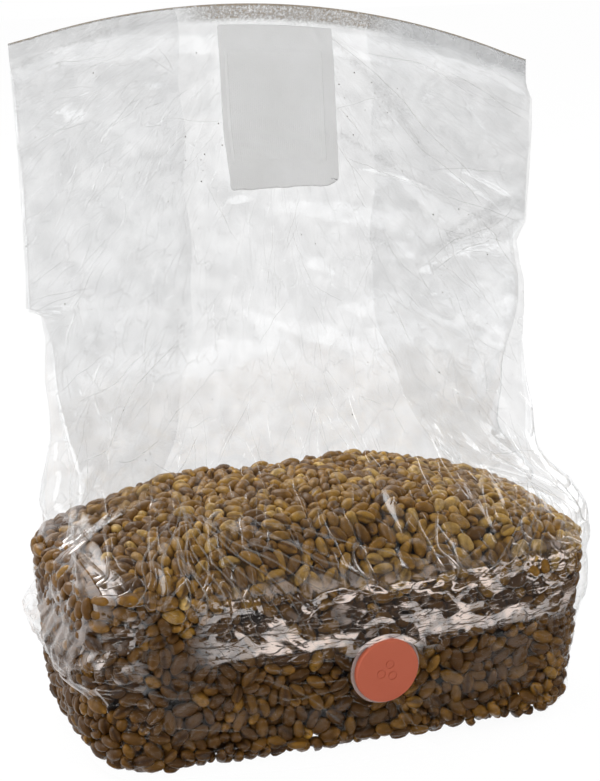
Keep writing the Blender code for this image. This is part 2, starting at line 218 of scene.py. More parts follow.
# %% Levels from the floor to the top
FRONT_COLUMNS, LEG_COLUMNS, BACK_COLUMNS = 140, 36, 80
BOTTOM_FILL = 0.35  # share of the bottom's plain rounding that the resting foot keeps
LEVELS = [
    (BOTTOM_RADIUS * (1 - math.cos(t)), BOTTOM_FILL * BOTTOM_RADIUS * (1 - math.sin(t)))
    for t in np.linspace(0.0, math.pi / 2, 12)
]
LEVELS += [(z, 0.0) for z in np.linspace(BOTTOM_RADIUS, SHOULDER_HEIGHT, 68)[1:]]
LEVELS += [(z, 0.0) for z in np.linspace(SHOULDER_HEIGHT, SEAL_BASE, 182)[1:]]
LEVELS += [(z, 0.0) for z in np.linspace(SEAL_BASE, BAG_HEIGHT, 8)[1:]]
print("levels up the bag:", len(LEVELS))

# %% [markdown]
# ## Creases and wrinkles
# Film that is handled keeps sharp creases with nearly flat facets between them. Two things make
# that here: noise whose absolute value leaves a sharp valley wherever it changes sign, and single
# folds laid where the photo shows them. Both move the film itself, so they also show at its edge.

# %% Noise over a plane


def make_noise(seed):
    """A function of (x, y) that gives smooth noise between about -1 and 1."""
    rng = np.random.default_rng(seed)
    order = rng.permutation(256)
    turns = rng.uniform(0.0, 2 * math.pi, 256)

    def push(ix, iy, dx, dy):
        turn = turns[order[(order[ix & 255] + iy) & 255]]
        return np.cos(turn) * dx + np.sin(turn) * dy

    def field(x, y):
        ix, iy = np.floor(x).astype(int), np.floor(y).astype(int)
        dx, dy = x - ix, y - iy
        sx, sy = (d * d * d * (d * (d * 6 - 15) + 10) for d in (dx, dy))
        low = mix(push(ix, iy, dx, dy), push(ix + 1, iy, dx - 1, dy), sx)
        high = mix(push(ix, iy + 1, dx, dy - 1), push(ix + 1, iy + 1, dx - 1, dy - 1), sx)
        return 1.5 * mix(low, high, sy)

    return field


soft, warp_u, warp_v, facet, fine = (make_noise(seed) for seed in range(11, 16))


def fold(high, u, v, middle, angle, length, width, height, curve=0.0, round_top=False):
    """Add a ridge, in millimetres on the flat film, to the heights near it."""
    near = np.hypot(u - middle[0], v - middle[1]) < length / 2 + abs(width) * 2
    du, dv = u[near] - middle[0], v[near] - middle[1]
    along = du * math.cos(angle) + dv * math.sin(angle)
    across = dv * math.cos(angle) - du * math.sin(angle) + curve * along * along / length
    taper = smooth((length / 2 - np.abs(along)) / (0.35 * length))
    side = np.where(across > 0, across / width, -across / (1.8 * width))
    shape = np.maximum(1.0 - side, 0.0)
    high[near] += height * taper * (smooth(shape) if round_top else shape)


def line_fold(high, u, v, start, end, width, height, curve=0.0):
    """The same ridge, given by its two ends."""
    du, dv = end[0] - start[0], end[1] - start[1]
    middle = ((start[0] + end[0]) / 2, (start[1] + end[1]) / 2)
    fold(high, u, v, middle, math.atan2(dv, du), math.hypot(du, dv), width, height, curve)

# %% [markdown]
# ## Where the film is held
# The patch and the port hold the film flat, and the grain in the foot has it sucked on. At the
# head, the shoulders and the left side it hangs loose. Such areas could be painted by hand. Here
# each is a short formula over the flat film, which both the folds and the finishes ask.

# %% Areas of the film


def patch_cover(u, v):
    """1 where the patch is welded on and holds the film flat."""
    du = np.abs(u) - PATCH_WIDTH / 2 / MM
    dv = np.abs(v - PATCH_Z / MM) - PATCH_HEIGHT / 2 / MM
    return 1.0 - smooth(np.maximum(du, dv) / 6.0)


def port_cover(u, v):
    far = np.hypot(u - PORT_X / MM, v - PORT_Z / MM)
    return 1.0 - rise(far, 14.5, 5.0)


def looseness(u, v):
    """1 where the film hangs off the grain: the head, the shoulders and the left side."""
    shoulder = rise(v, 68.0, 16.0)
    left_side = rise(-u, 84.0, 14.0) * smooth((230.0 + u) / 20.0) * rise(v, 6.0, 12.0)
    right_side = rise(u, 92.0, 14.0) * rise(v, 40.0, 25.0)
    return np.maximum(shoulder, np.maximum(0.85 * left_side, 0.6 * right_side))


def band_cover(u, v):
    """1 on the upper front of the foot, where the film is drawn smooth over the grain."""
    level = rise(v, 41.0, 9.0) * smooth((79.0 - v) / 7.0)
    return level * smooth((u + 70.0) / 26.0) * smooth((98.0 - u) / 10.0)


def calm(u, v):
    """1 at the upper right of the head, which is drawn into a few large smooth facets."""
    return rise(u, 26.0, 14.0) * rise(v, 190.0, 22.0) * smooth((130.0 - u) / 30.0)

# %% [markdown]
# ## Folds laid one by one
# The largest folds of the real bag are laid one by one: two ends in millimetres on the flat film, a
# width and a height. Sculpting would do too, but a list of lines can be read and changed. The
# folds fan out from the two places where the gussets tuck in over the grain.

# %% Folds laid one by one
FOLDS = [
    ((20, 262), (60, 222), 1.6, 0.9),
    ((60, 222), (100, 196), 1.4, 0.8),
    ((22, 218), (72, 206), 1.2, 0.7),
    ((24, 226), (34, 212), 1.0, 0.7),
    ((66, 220), (98, 208), 1.3, 0.9),
    ((52, 240), (72, 262), 2.6, 1.2),
    ((70, 258), (88, 230), 2.0, 0.8),
    ((-22, 250), (-60, 196), 2.0, 0.7),
    ((-30, 268), (-96, 236), 2.2, 0.6),
    ((-55, 225), (-75, 205), 3.0, 0.8),
    ((50, 175), (98, 190), 1.3, 0.9),
    ((-60, 150), (-96, 128), 1.8, 0.8),
    ((-58, 150), (-10, 160), 2.0, 0.5),
    ((-62, 110), (-96, 140), 1.6, 0.8),
    ((-60, 118), (-52, 96), 2.2, 1.0),
    ((-52, 98), (20, 66), 1.5, 0.8),
    ((-60, 96), (-30, 60), 1.5, 0.8),
    ((-74, 92), (-62, 62), 1.5, 0.9),
    ((40, 120), (84, 92), 1.4, 0.8),
    ((56, 110), (96, 84), 1.6, 1.0),
    ((-48, 36), (-20, 20), 1.2, 0.6),
    ((22, 22), (38, 4), 1.2, 0.7),
]
LEFT_TUCK, RIGHT_TUCK = (-57, 99), (78, 93)
FANS = [
    (LEFT_TUCK, ((-78, 66), (-69, 60), (-59, 57), (-48, 60), (-36, 58)), 1.1, 0.8),
    (LEFT_TUCK, ((-24, 64), (-12, 62), (4, 68), (22, 66), (36, 72)), 1.0, 0.7),
    (RIGHT_TUCK, ((36, 70), (48, 62), (60, 64), (74, 58), (90, 62)), 1.0, 0.8),
]
for tuck, ends, width, height in FANS:
    FOLDS += [(tuck, end, width, height) for end in ends]
print("folds laid by hand:", len(FOLDS))

# %% [markdown]
# ## Folds laid at random
# Between the large folds lie hundreds of small ones. Nobody would lay those by hand, so random
# numbers place them, from one seed, which makes every run give the same bag. Their directions fan
# out from the patch in the head and run level in the foot, as they do on the real bag.

# %% Folds laid at random


def fan_angle(rng, u, v):
    """Most creases of the head fan out from the patch, and those of the foot run level."""
    x = math.copysign(101.5 - abs(abs(u) - 101.5), u)
    turned = 1.0 if abs(u) < 101.5 else -1.0
    away = math.atan2(262.0 - v, -x * turned)
    if v < 72:
        return rng.normal(0.0, 0.5)
    return away + rng.normal(0.0, 0.45)


def random_folds(seed):
    """Broad soft folds and short sharp creases, over the whole tube of film."""
    rng = np.random.default_rng(seed)
    folds = []
    for _ in range(120):
        u, v = rng.uniform(-230, 330), rng.uniform(66, 262)
        angle = fan_angle(rng, u, v)
        length, width = rng.uniform(40, 120), rng.uniform(5, 15)
        height = width * rng.uniform(0.03, 0.09) * rng.choice((-1, 1))
        folds.append(((u, v), angle, length, width, height, rng.normal(0, 0.2), True))
    for _ in range(900):
        u, v = rng.uniform(-230, 330), 62 + 204 * rng.random() ** 1.35
        angle = fan_angle(rng, u, v) + (rng.random() < 0.25) * rng.normal(0.0, 1.0)
        length, width = rng.uniform(8, 40), rng.uniform(1.2, 6.0)
        height = width * rng.uniform(0.03, 0.10) * rng.choice((-1, 1)) * (2.0 if v < 108 else 1.0)
        folds.append(((u, v), angle, length, width, height, rng.normal(0, 0.3), False))
    for _ in range(300):
        u, v = rng.uniform(-230, 330), rng.uniform(2, 74)
        angle = fan_angle(rng, u, v)
        length, width = rng.uniform(6, 22), rng.uniform(0.9, 2.0)
        height = width * rng.uniform(0.1, 0.25)
        folds.append(((u, v), angle, length, width, height, rng.normal(0, 0.5), False))
    return folds


RANDOM_FOLDS = random_folds(3)
print("folds laid at random:", len(RANDOM_FOLDS))

# %% [markdown]
# ## All the creases together
# Soft swells, sharp creases, the random folds and the laid folds are added up to one height over
# the flat film, in millimetres. One function does it, so that the patch can follow the same film.

# %% The height of the creased film


def crumple(u, v):
    """How far the film stands out from its loft, in millimetres, at a point of the flat film."""
    loose = looseness(u, v)
    wu = u + 5.0 * warp_u(u / 30.0, v / 30.0)
    wv = v + 5.0 * warp_v(u / 30.0, v / 30.0)
    head = rise(v, 80.0, 25.0)
    high = 1.0 * loose * soft(wu / 44.0, wv / 40.0)
    high = high + (0.6 - 0.35 * head) * loose * np.abs(facet(wu / 17.0, wv / 23.0))
    high = high + ((0.3 - 0.24 * head) * loose + 0.03) * np.abs(fine(wu / 5.0, wv / 6.5))
    sides = loose * smooth((78.0 - v) / 12.0)
    high = high + 2.2 * sides * np.abs(facet(u / 11.0 + 7.0, v / 13.0)) - 0.4 * sides
    still = 1.0 - 0.75 * calm(u, v)
    for middle, angle, length, width, height, curve, round_top in RANDOM_FOLDS:
        fold(high, u, v, middle, angle, length, width, height, curve, round_top)
    high = high * still
    for start, end, width, height in FOLDS:
        line_fold(high, u, v, start, end, width, height, 0.3)
    top = rise(v, 262.0, 6.0)
    gritty = 0.12 + 0.4 * smooth((46.0 - np.abs(u - 6.0)) / 20.0)
    high = high * (1.0 - 0.75 * top) + top * gritty * np.abs(fine(u / 3.0, v / 2.4))
    return high * (1.0 - 0.9 * patch_cover(u, v)) * (1.0 - 0.9 * port_cover(u, v))

# %% [markdown]
# ## The outline
# The real outline departs a few millimetres from the smooth loft. A finer loft could hold that,
# but two short lists of (height, shift) in millimetres say it more plainly, and only the film near
# the edges moves.

# %% How the outline departs from the loft
LEFT_EDGE = [
    (0, 2), (8, 5), (20, 4.5), (30, 3), (38, -4), (46, -5), (54, 1), (64, 2), (72, 4), (79, 5),
    (87, 2.6), (96, 2.3), (112, 3.5), (129, 2.3), (136, 1.8), (153, 3.1), (164.5, 2.2),
    (166.0, -3.0), (177, -1.7), (193, -0.3), (210, 0.8), (225, 1.6), (242, 1.4), (258, 1),
    (274, 0.3),
]
RIGHT_EDGE = [
    (0, 0), (8, 2), (18, -0.7), (25, -0.3), (34, 1.3), (43, 2.8), (51, 4.5), (60, 3.1), (75, 3.4),
    (82, 5), (90, 2.4), (97, -3.4), (103, -4.6), (118, -1.7), (126, -2), (142, 0), (157, 1.4),
    (168, 0.9), (178, -1.6), (187, -3.3), (196, 1.1), (225, 1.5), (245, 2.1), (256, 2.0),
    (263, 0), (274, -0.3),
]


def edge_shift(x, z):
    """Move the film near its two outer edges sideways, in metres."""
    left = np.interp(z / MM, *np.array(LEFT_EDGE).T)
    right = np.interp(z / MM, *np.array(RIGHT_EDGE).T)
    side = smooth((np.abs(x) / MM - 70.0) / 28.0)
    return np.where(x < 0, left, right) * MM * side

# %% [markdown]
# ## From points to meshes
# Most pieces are grids of points. One helper joins a grid into four-sided faces, and another
# finds a grid's normals.

# %% Grid helpers


def new_piece(name, points, faces, smooth_shaded=True):
    """A mesh object from an array of points and an array of faces of equal size."""
    mesh = bpy.data.meshes.new(name)
    mesh.vertices.add(len(points))
    mesh.vertices.foreach_set("co", np.asarray(points, np.float32).ravel())
    sides = faces.shape[1]
    mesh.loops.add(faces.size)
    mesh.loops.foreach_set("vertex_index", faces.astype(np.int32).ravel())
    mesh.polygons.add(len(faces))
    mesh.polygons.foreach_set("loop_start", np.arange(0, faces.size, sides, dtype=np.int32))
    mesh.update(calc_edges=True)
    mesh.validate()
    if smooth_shaded:
        mesh.shade_smooth()
    obj = bpy.data.objects.new(name, mesh)
    bpy.context.scene.collection.objects.link(obj)
    return obj


def grid_faces(rows, columns):
    index = np.arange(rows * columns).reshape(rows, columns)
    corners = (index[:-1, :-1], index[:-1, 1:], index[1:, 1:], index[1:, :-1])
    return np.stack([c.ravel() for c in corners], axis=-1)


def grid_normals(grid):
    along = np.gradient(grid, axis=1)
    up = np.gradient(grid, axis=0)
    normal = np.cross(along, up)
    return normal / np.maximum(np.linalg.norm(normal, axis=-1, keepdims=True), 1e-12)


def store(piece, label, values, kind="FLOAT"):
    """Keep a value at each point of a mesh, for its material to read."""
    attribute = piece.data.attributes.new(label, kind, "POINT")
    field = "vector" if kind == "FLOAT_VECTOR" else "value"
    attribute.data.foreach_set(field, values.astype(np.float32).ravel())


def triangles(obj):
    return len(obj.data.loops) - 2 * len(obj.data.polygons)


def finish_piece(obj, material, slot, *nodes):
    """Give a piece its material and its place on the model."""
    obj.data.materials.clear()
    obj.data.materials.append(material)
    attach(obj, "root")
    if nodes:
        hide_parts(*nodes)
    print(obj.name, triangles(obj), "triangles")

# %% [markdown]
# ## Node groups
# Effects that several finishes share are built once as node groups. Each puts out only masks or
# heights, and the shaders stay in the materials.

# %% Helpers for nodes


def add_node(tree, kind, values=None, **settings):
    """A shader node with its inputs set or linked. A colour may be given as three numbers."""
    node = tree.nodes.new("ShaderNode" + kind)
    for name, value in settings.items():
        setattr(node, name, value)
    for key, value in (values or {}).items():
        socket = node.inputs[key]
        if isinstance(value, bpy.types.NodeSocket):
            tree.links.new(value, socket)
        elif socket.type == "RGBA":
            socket.default_value = (*value, 1.0)
        else:
            socket.default_value = value
    return node


def maths(tree, operation, a, b=0.0, c=0.0, clamp=False):
    values = {0: a, 1: b, 2: c}
    return add_node(tree, "Math", values, operation=operation, use_clamp=clamp).outputs[0]


def multiply_add(tree, a, b, c, clamp=False):
    return maths(tree, "MULTIPLY_ADD", a, b, c, clamp)


def blend(tree, share, low, high, kind="MIX"):
    """A colour that goes from low to high with the share."""
    values = {0: share, 6: low, 7: high}
    return add_node(tree, "Mix", values, data_type="RGBA", blend_type=kind).outputs[2]


def ramp(tree, value, stops):
    """A colour looked up between stops of {position: colour}."""
    node = add_node(tree, "ValToRGB", {"Fac": value})
    elements = node.color_ramp.elements
    while len(elements) < len(stops):
        elements.new(0.5)
    for element, (position, colour) in zip(elements, stops.items()):
        element.position, element.color = position, (*colour, 1.0)
    return node.outputs[0]


def stored(tree, label, output="Fac"):
    """A value that the mesh keeps at each point."""
    return add_node(tree, "Attribute", attribute_name=label).outputs[output]


def bump(tree, height, strength, distance):
    values = {"Strength": strength, "Distance": distance, "Height": height}
    return add_node(tree, "Bump", values).outputs[0]


def new_group(name, inputs, outputs):
    group = bpy.data.node_groups.new(name, "ShaderNodeTree")
    for label, value in inputs.items():
        kind = "Vector" if value is None else "Float"
        socket = group.interface.new_socket(label, in_out="INPUT", socket_type="NodeSocket" + kind)
        if value is not None:
            socket.default_value = value
    for label, kind in outputs.items():
        group.interface.new_socket(label, in_out="OUTPUT", socket_type="NodeSocket" + kind)
    return group, group.nodes.new("NodeGroupInput"), group.nodes.new("NodeGroupOutput")


def use_group(tree, group, **values):
    node = tree.nodes.new("ShaderNodeGroup")
    node.node_tree = group
    for name, value in values.items():
        if isinstance(value, bpy.types.NodeSocket):
            tree.links.new(value, node.inputs[name])
        else:
            node.inputs[name].default_value = value
    return node


def new_material(name):
    material = bpy.data.materials.new(name)
    material.use_nodes = True
    material.node_tree.nodes.clear()
    return material, material.node_tree


def show(tree, shader):
    out = tree.nodes.new("ShaderNodeOutputMaterial")
    tree.links.new(shader, out.inputs["Surface"])


def principled(tree, values):
    show(tree, add_node(tree, "BsdfPrincipled", values).outputs[0])

# %% [markdown]
# ## Mottling
# Kernels, fleece and silicone all have cloudy patches of lighter and darker tone, and at a smaller
# scale a grained skin. A picture could give both. Noise needs none and never repeats, and one
# group with a scale and a detail serves all three.

# %% Mottling
mottle, group_in, group_out = new_group(
    "mottle", {"Scale": 100.0, "Detail": 4.0}, {"Mask": "Float"}
)
place = mottle.nodes.new("ShaderNodeTexCoord").outputs["Object"]
group_inputs = {label: group_in.outputs[label] for label in ("Scale", "Detail")}
cloud = add_node(mottle, "TexNoise", {"Vector": place, **group_inputs})
spread = add_node(mottle, "MapRange", {"Value": cloud.outputs[0], 1: 0.3, 2: 0.7})
mottle.links.new(spread.outputs[0], group_out.inputs["Mask"])

# %% [markdown]
# ## Crinkles
# Handled film is covered by a net of thin ridges that comes and goes. Modelling each would take
# millions of points, so the finest are drawn by the material: the borders of random cells, with
# noise that bends them and fades them out. Front and hidden film share the group.

# %% Crinkles
crinkle, group_in, group_out = new_group(
    "crinkle",
    {"Place": None, "Across": 1.0, "Along": 1.0, "Width": 0.05, "Shown": 0.5},
    {"Ridge": "Float"},
)
given = group_in.outputs
size = add_node(crinkle, "CombineXYZ", {0: given["Across"], 1: given["Along"], 2: 1.0})
scaled = add_node(
    crinkle, "VectorMath", {0: given["Place"], 1: size.outputs[0]}, operation="DIVIDE"
)
wander = add_node(crinkle, "TexNoise", {"Vector": scaled.outputs[0], "Scale": 1.1, "Detail": 1.0})
bend = add_node(
    crinkle, "VectorMath", {0: wander.outputs["Color"], 1: (0.8, 0.8, 0.0)}, operation="MULTIPLY"
)
bent_place = add_node(
    crinkle, "VectorMath", {0: scaled.outputs[0], 1: bend.outputs[0]}, operation="ADD"
)
cells = add_node(
    crinkle,
    "TexVoronoi",
    {"Vector": bent_place.outputs[0], "Scale": 1.0},
    feature="DISTANCE_TO_EDGE",
    voronoi_dimensions="2D",
)
ridge = add_node(
    crinkle,
    "MapRange",
    {0: cells.outputs["Distance"], 1: 0.0, 2: given["Width"], 3: 1.0, 4: 0.0},
    interpolation_type="SMOOTHSTEP",
)
shown_low = maths(crinkle, "SUBTRACT", 1.0, given["Shown"])
shown_high = maths(crinkle, "ADD", shown_low, 0.15)
shown = add_node(crinkle, "MapRange", {0: wander.outputs[0], 1: shown_low, 2: shown_high})
faded = maths(crinkle, "MULTIPLY", ridge.outputs[0], shown.outputs[0])
crinkle.links.new(faded, group_out.inputs["Ridge"])

# %% [markdown]
# ## The grain
# Cooked wheat is packed as single kernels, 8 to 9 mm long, each with the crease that runs down
# one side of a wheat grain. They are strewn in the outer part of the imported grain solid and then
# pushed apart, as kernels in a filled bag push each other, until they lie against its surface.

# %% One kernel
KERNEL_LENGTH = 8.7
KERNEL_WIDTH = 5.5
KERNEL_HEIGHT = 5.0
RING_COUNT, RING_POINTS = 6, 12


def kernel_points(rng):
    """A wheat grain along X, in millimetres: blunt at one end, with a crease underneath."""
    points = [(-KERNEL_LENGTH / 2, 0.0, 0.0)]
    crease_shade_and_tip = [0.5]
    full = rng.uniform(0.66, 0.82)
    for i in range(1, RING_COUNT + 1):
        t = i / (RING_COUNT + 1)
        x = -KERNEL_LENGTH / 2 * math.cos(math.pi * t)
        girth = math.sin(math.pi * t) ** (full + 0.22 * (1.0 - math.cos(math.pi * t)))
        for k in range(RING_POINTS):
            turn = 2 * math.pi * k / RING_POINTS - math.pi / 2
            crease = 0.38 * (k == 0) - 0.03 * (k in (1, RING_POINTS - 1)) + 0.05 * (k % 3 == 2)
            radius = girth * (1.0 - crease) * rng.uniform(0.94, 1.06)
            y = KERNEL_WIDTH / 2 * radius * math.cos(turn)
            z = KERNEL_HEIGHT / 2 * radius * math.sin(turn)
            points.append((x, y, z))
            # 0 darkens the crease as painted shade, 1 marks the paler brush end
            crease_shade_and_tip.append(0.0 if k == 0 else 0.5 + 0.5 * (i == RING_COUNT))
    points.append((KERNEL_LENGTH / 2, 0.0, 0.0))
    crease_shade_and_tip.append(1.0)
    return np.array(points), np.array(crease_shade_and_tip)


def kernel_faces():
    faces = []
    last = 1 + RING_COUNT * RING_POINTS
    for k in range(RING_POINTS):
        m = (k + 1) % RING_POINTS
        faces.append((0, 1 + m, 1 + k))
        for i in range(RING_COUNT - 1):
            a, b = 1 + i * RING_POINTS, 1 + (i + 1) * RING_POINTS
            faces.append((a + k, a + m, b + m))
            faces.append((a + k, b + m, b + k))
        end = 1 + (RING_COUNT - 1) * RING_POINTS
        faces.append((last, end + k, end + m))
    return np.array(faces)


kernel_rng = np.random.default_rng(5)
KERNEL_SHAPES = [kernel_points(kernel_rng) for _ in range(10)]
KERNEL_FACES = kernel_faces()
print("one kernel has", len(KERNEL_FACES), "triangles")

# %% [markdown]
# ## Kernels before they are packed
# Only the outer layer of kernels can be seen, so kernels are strewn in the outer 8.5 mm of the
# packed grain solid, none under its flat bottom's middle. A rigid-body run could pour them in, but
# it takes long and lands differently in each version. Points drawn on the solid's faces, by area,
# and moved inwards by a random depth are quick and always the same.

# %% Strew the kernels
KERNEL_COUNT = 3050
SHALLOWEST, DEEPEST = 2.4, 8.5  # millimetres under the surface
grain_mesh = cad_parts["grain"].data
grain_mesh.calc_loop_triangles()
grain_corners = np.array([v.co for v in grain_mesh.vertices])
grain_faces = np.array([t.vertices for t in grain_mesh.loop_triangles])
grain_tree = BVHTree.FromPolygons(grain_corners.tolist(), grain_faces.tolist())


def strew(rng, count):
    """Middles and directions of kernels at random depths under the grain solid's surface."""
    corners = grain_corners[grain_faces]
    cross = np.cross(corners[:, 1] - corners[:, 0], corners[:, 2] - corners[:, 0])
    area = np.linalg.norm(cross, axis=1) / 2
    normal = cross / np.maximum(2 * area[:, None], 1e-12)
    middle = corners.mean(axis=1)
    edge = (np.abs(middle[:, 0]) > 0.078) | (np.abs(middle[:, 1]) > 0.034)
    area = area * ((normal[:, 2] > -0.97) | edge)
    chosen = rng.choice(len(area), count, p=area / area.sum())
    a, b = np.sqrt(rng.random(count)), rng.random(count)
    shares = np.stack([1 - a, a * (1 - b), a * b], axis=-1)
    spots = (corners[chosen] * shares[:, :, None]).sum(axis=1)
    depth = rng.uniform(SHALLOWEST, DEEPEST, count) * MM
    ways = np.cross(normal[chosen], rng.normal(size=(count, 3)))
    ways = ways / np.linalg.norm(ways, axis=1)[:, None] + 0.45 * rng.normal(size=(count, 3))
    return spots - normal[chosen] * depth[:, None], ways / np.linalg.norm(ways, axis=1)[:, None]

# %% [markdown]
# ## Kernels that touch
# Kernels in a bag press on each other until none overlap. For that each is taken as three balls in
# a row. Comparing all balls with all others would be slow, so they are sorted into cells, and only
# balls in the same cell or the next can touch.

# %% Pairs of near balls
BALLS_AT = np.array((-2.6, 0.0, 2.6)) * MM
BALL_SIZES = np.array((1.85, 2.55, 1.85)) * MM
REACH = 5.4 * MM
CELLS = [(i, j, k) for i in (-1, 0, 1) for j in (-1, 0, 1) for k in (-1, 0, 1)]
CELLS = [c for c in CELLS if c >= (0, 0, 0)]


def close_pairs(points):
    """Pairs of points nearer than REACH, found by sorting the points into cells."""
    cells = np.floor((points - points.min(axis=0)) / REACH).astype(np.int64) + 1
    key = (cells[:, 0] * 512 + cells[:, 1]) * 512 + cells[:, 2]
    order = np.argsort(key, kind="stable")
    ordered = key[order]
    first, second = [], []
    for i, j, k in CELLS:
        wanted = key + (i * 512 + j) * 512 + k
        low = np.searchsorted(ordered, wanted, "left")
        high = np.searchsorted(ordered, wanted, "right")
        for n in range(int((high - low).max())):
            mine = np.nonzero(low + n < high)[0]
            other = order[low[mine] + n]
            if (i, j, k) == (0, 0, 0):
                mine, other = mine[mine < other], other[mine < other]
            first.append(mine)
            second.append(other)
    return np.concatenate(first), np.concatenate(second)

# %% [markdown]
# ## Packing
# Each round moves overlapping balls apart and pulls those that stand out of the grain solid back
# under its surface, as the tight film does. Moves of the two end balls also turn the kernel. After
# some twenty rounds little overlap is left.

# %% Push the kernels apart
PUSH_ROUNDS = 22
LONGEST_MOVE = 1.2 * MM
MOVE_SHARE = 1.3  # the three balls' mean move, and a little more


def push_apart(middles, ways, sizes, rounds):
    radius = (BALL_SIZES * sizes[:, None]).ravel()
    owner = np.repeat(np.arange(len(middles)), 3)
    offsets = BALLS_AT * sizes[:, None]
    for _ in range(rounds):
        balls = (middles[:, None] + ways[:, None] * offsets[..., None]).reshape(-1, 3)
        a, b = close_pairs(balls)
        apart = owner[a] != owner[b]
        a, b = a[apart], b[apart]
        gap = balls[b] - balls[a]
        far = np.maximum(np.linalg.norm(gap, axis=1), 1e-7)
        overlap = np.maximum(radius[a] + radius[b] - far, 0.0)
        push = gap * (0.5 * overlap / far)[:, None]
        move = np.zeros_like(balls)
        for axis in range(3):
            move[:, axis] += np.bincount(b, push[:, axis], len(balls))
            move[:, axis] -= np.bincount(a, push[:, axis], len(balls))
        for n, ball in enumerate(balls.tolist()):
            spot, normal, _, _ = grain_tree.find_nearest(ball)
            depth = normal.dot(spot - Vector(ball)) - radius[n]
            step = depth if depth < 0 else 0.3 * depth * (n % 3 == 1)
            move[n] += np.array(normal) * step
        move = np.clip(move, -LONGEST_MOVE, LONGEST_MOVE).reshape(-1, 3, 3)
        middles = middles + move.mean(axis=1) * MOVE_SHARE
        ways = ways + (move[:, 2] - move[:, 0]) / (offsets[:, 2] - offsets[:, 0])[:, None]
        ways = ways / np.linalg.norm(ways, axis=1)[:, None]
    print("overlap left between kernels, mm:", round(float(overlap.mean()) / MM, 3))
    return middles, ways


rng = np.random.default_rng(21)
kernel_middles, kernel_ways = strew(rng, KERNEL_COUNT)
kernel_sizes = np.clip(rng.normal(1.0, 0.09, KERNEL_COUNT), 0.8, 1.18)
kernel_middles, kernel_ways = push_apart(kernel_middles, kernel_ways, kernel_sizes, PUSH_ROUNDS)

# %% [markdown]
# ## The lower edge of the foot
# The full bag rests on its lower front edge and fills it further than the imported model's plain
# rounding does. The low kernels are moved out level, and then the film and they are both widened
# by one function, so that they stay together.

# %% Fill the lower edge
WIDER_BY = 4.5 * MM


def rest_wider(points):
    """The foot's front edge rests a few millimetres further out than its plain shape."""
    share = smooth((20.0 - points[..., 2] / MM) / 18.0) * rise(-points[..., 1] / MM, 20.0, 25.0)
    wider = points.copy()
    wider[..., 1] -= WIDER_BY * share * (1.0 - 0.4 * rise(-points[..., 0] / MM, 10.0, 60.0))
    return wider


low_ones = np.nonzero(kernel_middles[:, 2] < BOTTOM_RADIUS)[0]
for n in low_ones:
    _, normal, _, _ = grain_tree.find_nearest(kernel_middles[n].tolist())
    level = math.hypot(normal.x, normal.y)
    below = BOTTOM_RADIUS - kernel_middles[n, 2]
    inset = BOTTOM_RADIUS - math.sqrt(BOTTOM_RADIUS**2 - below**2)
    outward = (1.0 - BOTTOM_FILL) * inset * min(level / 0.35, 1.0) / max(level, 1e-6)
    kernel_middles[n, :2] += np.array((normal.x, normal.y)) * outward
kernel_middles = rest_wider(kernel_middles)
print("kernels moved into the foot's lower edge:", len(low_ones))

# %% [markdown]
# ## Wheat
# Cooked wheat is amber to dark brown, wet, and paler at its brush end. Each kernel carries a tone,
# partly at random and partly painted light and shade by where it lies, which picks its colour from
# a ramp. Blotches darken it. The crease, darkened as painted shade, and the paler brush end are
# marked on its points. A thin coat gives the wet look.

# %% Wheat
WHEAT_TONES = {
    0.0: (0.085, 0.034, 0.004),
    0.25: (0.155, 0.067, 0.007),
    0.55: (0.29, 0.138, 0.014),
    0.8: (0.46, 0.25, 0.03),
    1.0: (0.66, 0.42, 0.11),
}
# Painted shade darkens the crease (0.0), and the brush end (1.0) is paler in its own colour.
CREASE_SHADE_AND_TIP = {0.0: (0.45, 0.38, 0.3), 0.5: (1.0, 1.0, 1.0), 1.0: (1.45, 1.5, 1.6)}
wheat_material, tree = new_material("cooked_wheat")
blotch = use_group(tree, mottle, Scale=330.0, Detail=4.0)
skin = use_group(tree, mottle, Scale=1600.0, Detail=2.0)
tones = ramp(tree, stored(tree, "tone_and_painted_light"), WHEAT_TONES)
blotched = maths(tree, "MULTIPLY", blotch.outputs[0], 0.75)
stained = blend(tree, blotched, tones, (0.088, 0.040, 0.008))
# The crease is darkened as painted shade, and the brush end is paler in its own colour.
shaded = blend(tree, 1.0, stained, ramp(tree, stored(tree, "crease_shade_and_tip"), CREASE_SHADE_AND_TIP), "MULTIPLY")
principled(
    tree,
    {
        "Base Color": shaded,
        "Roughness": 0.4,
        "Specular IOR Level": 0.22,
        "Coat Weight": 0.25,
        "Coat Roughness": 0.1,
        "Normal": bump(tree, skin.outputs[0], 0.35, 0.0003),
    },
)

# %% [markdown]
# ## Kernel meshes
# Thousands of objects would be slow to handle, so the kernels are joined into three meshes. Their
# points are worked out in one step for all kernels. Kernels on top of the brick are painted paler,
# as painted light, and those low in front, and most of all on the left, darker, as painted shade.

# %% Join the kernels into pieces
PER_PIECE = 1020


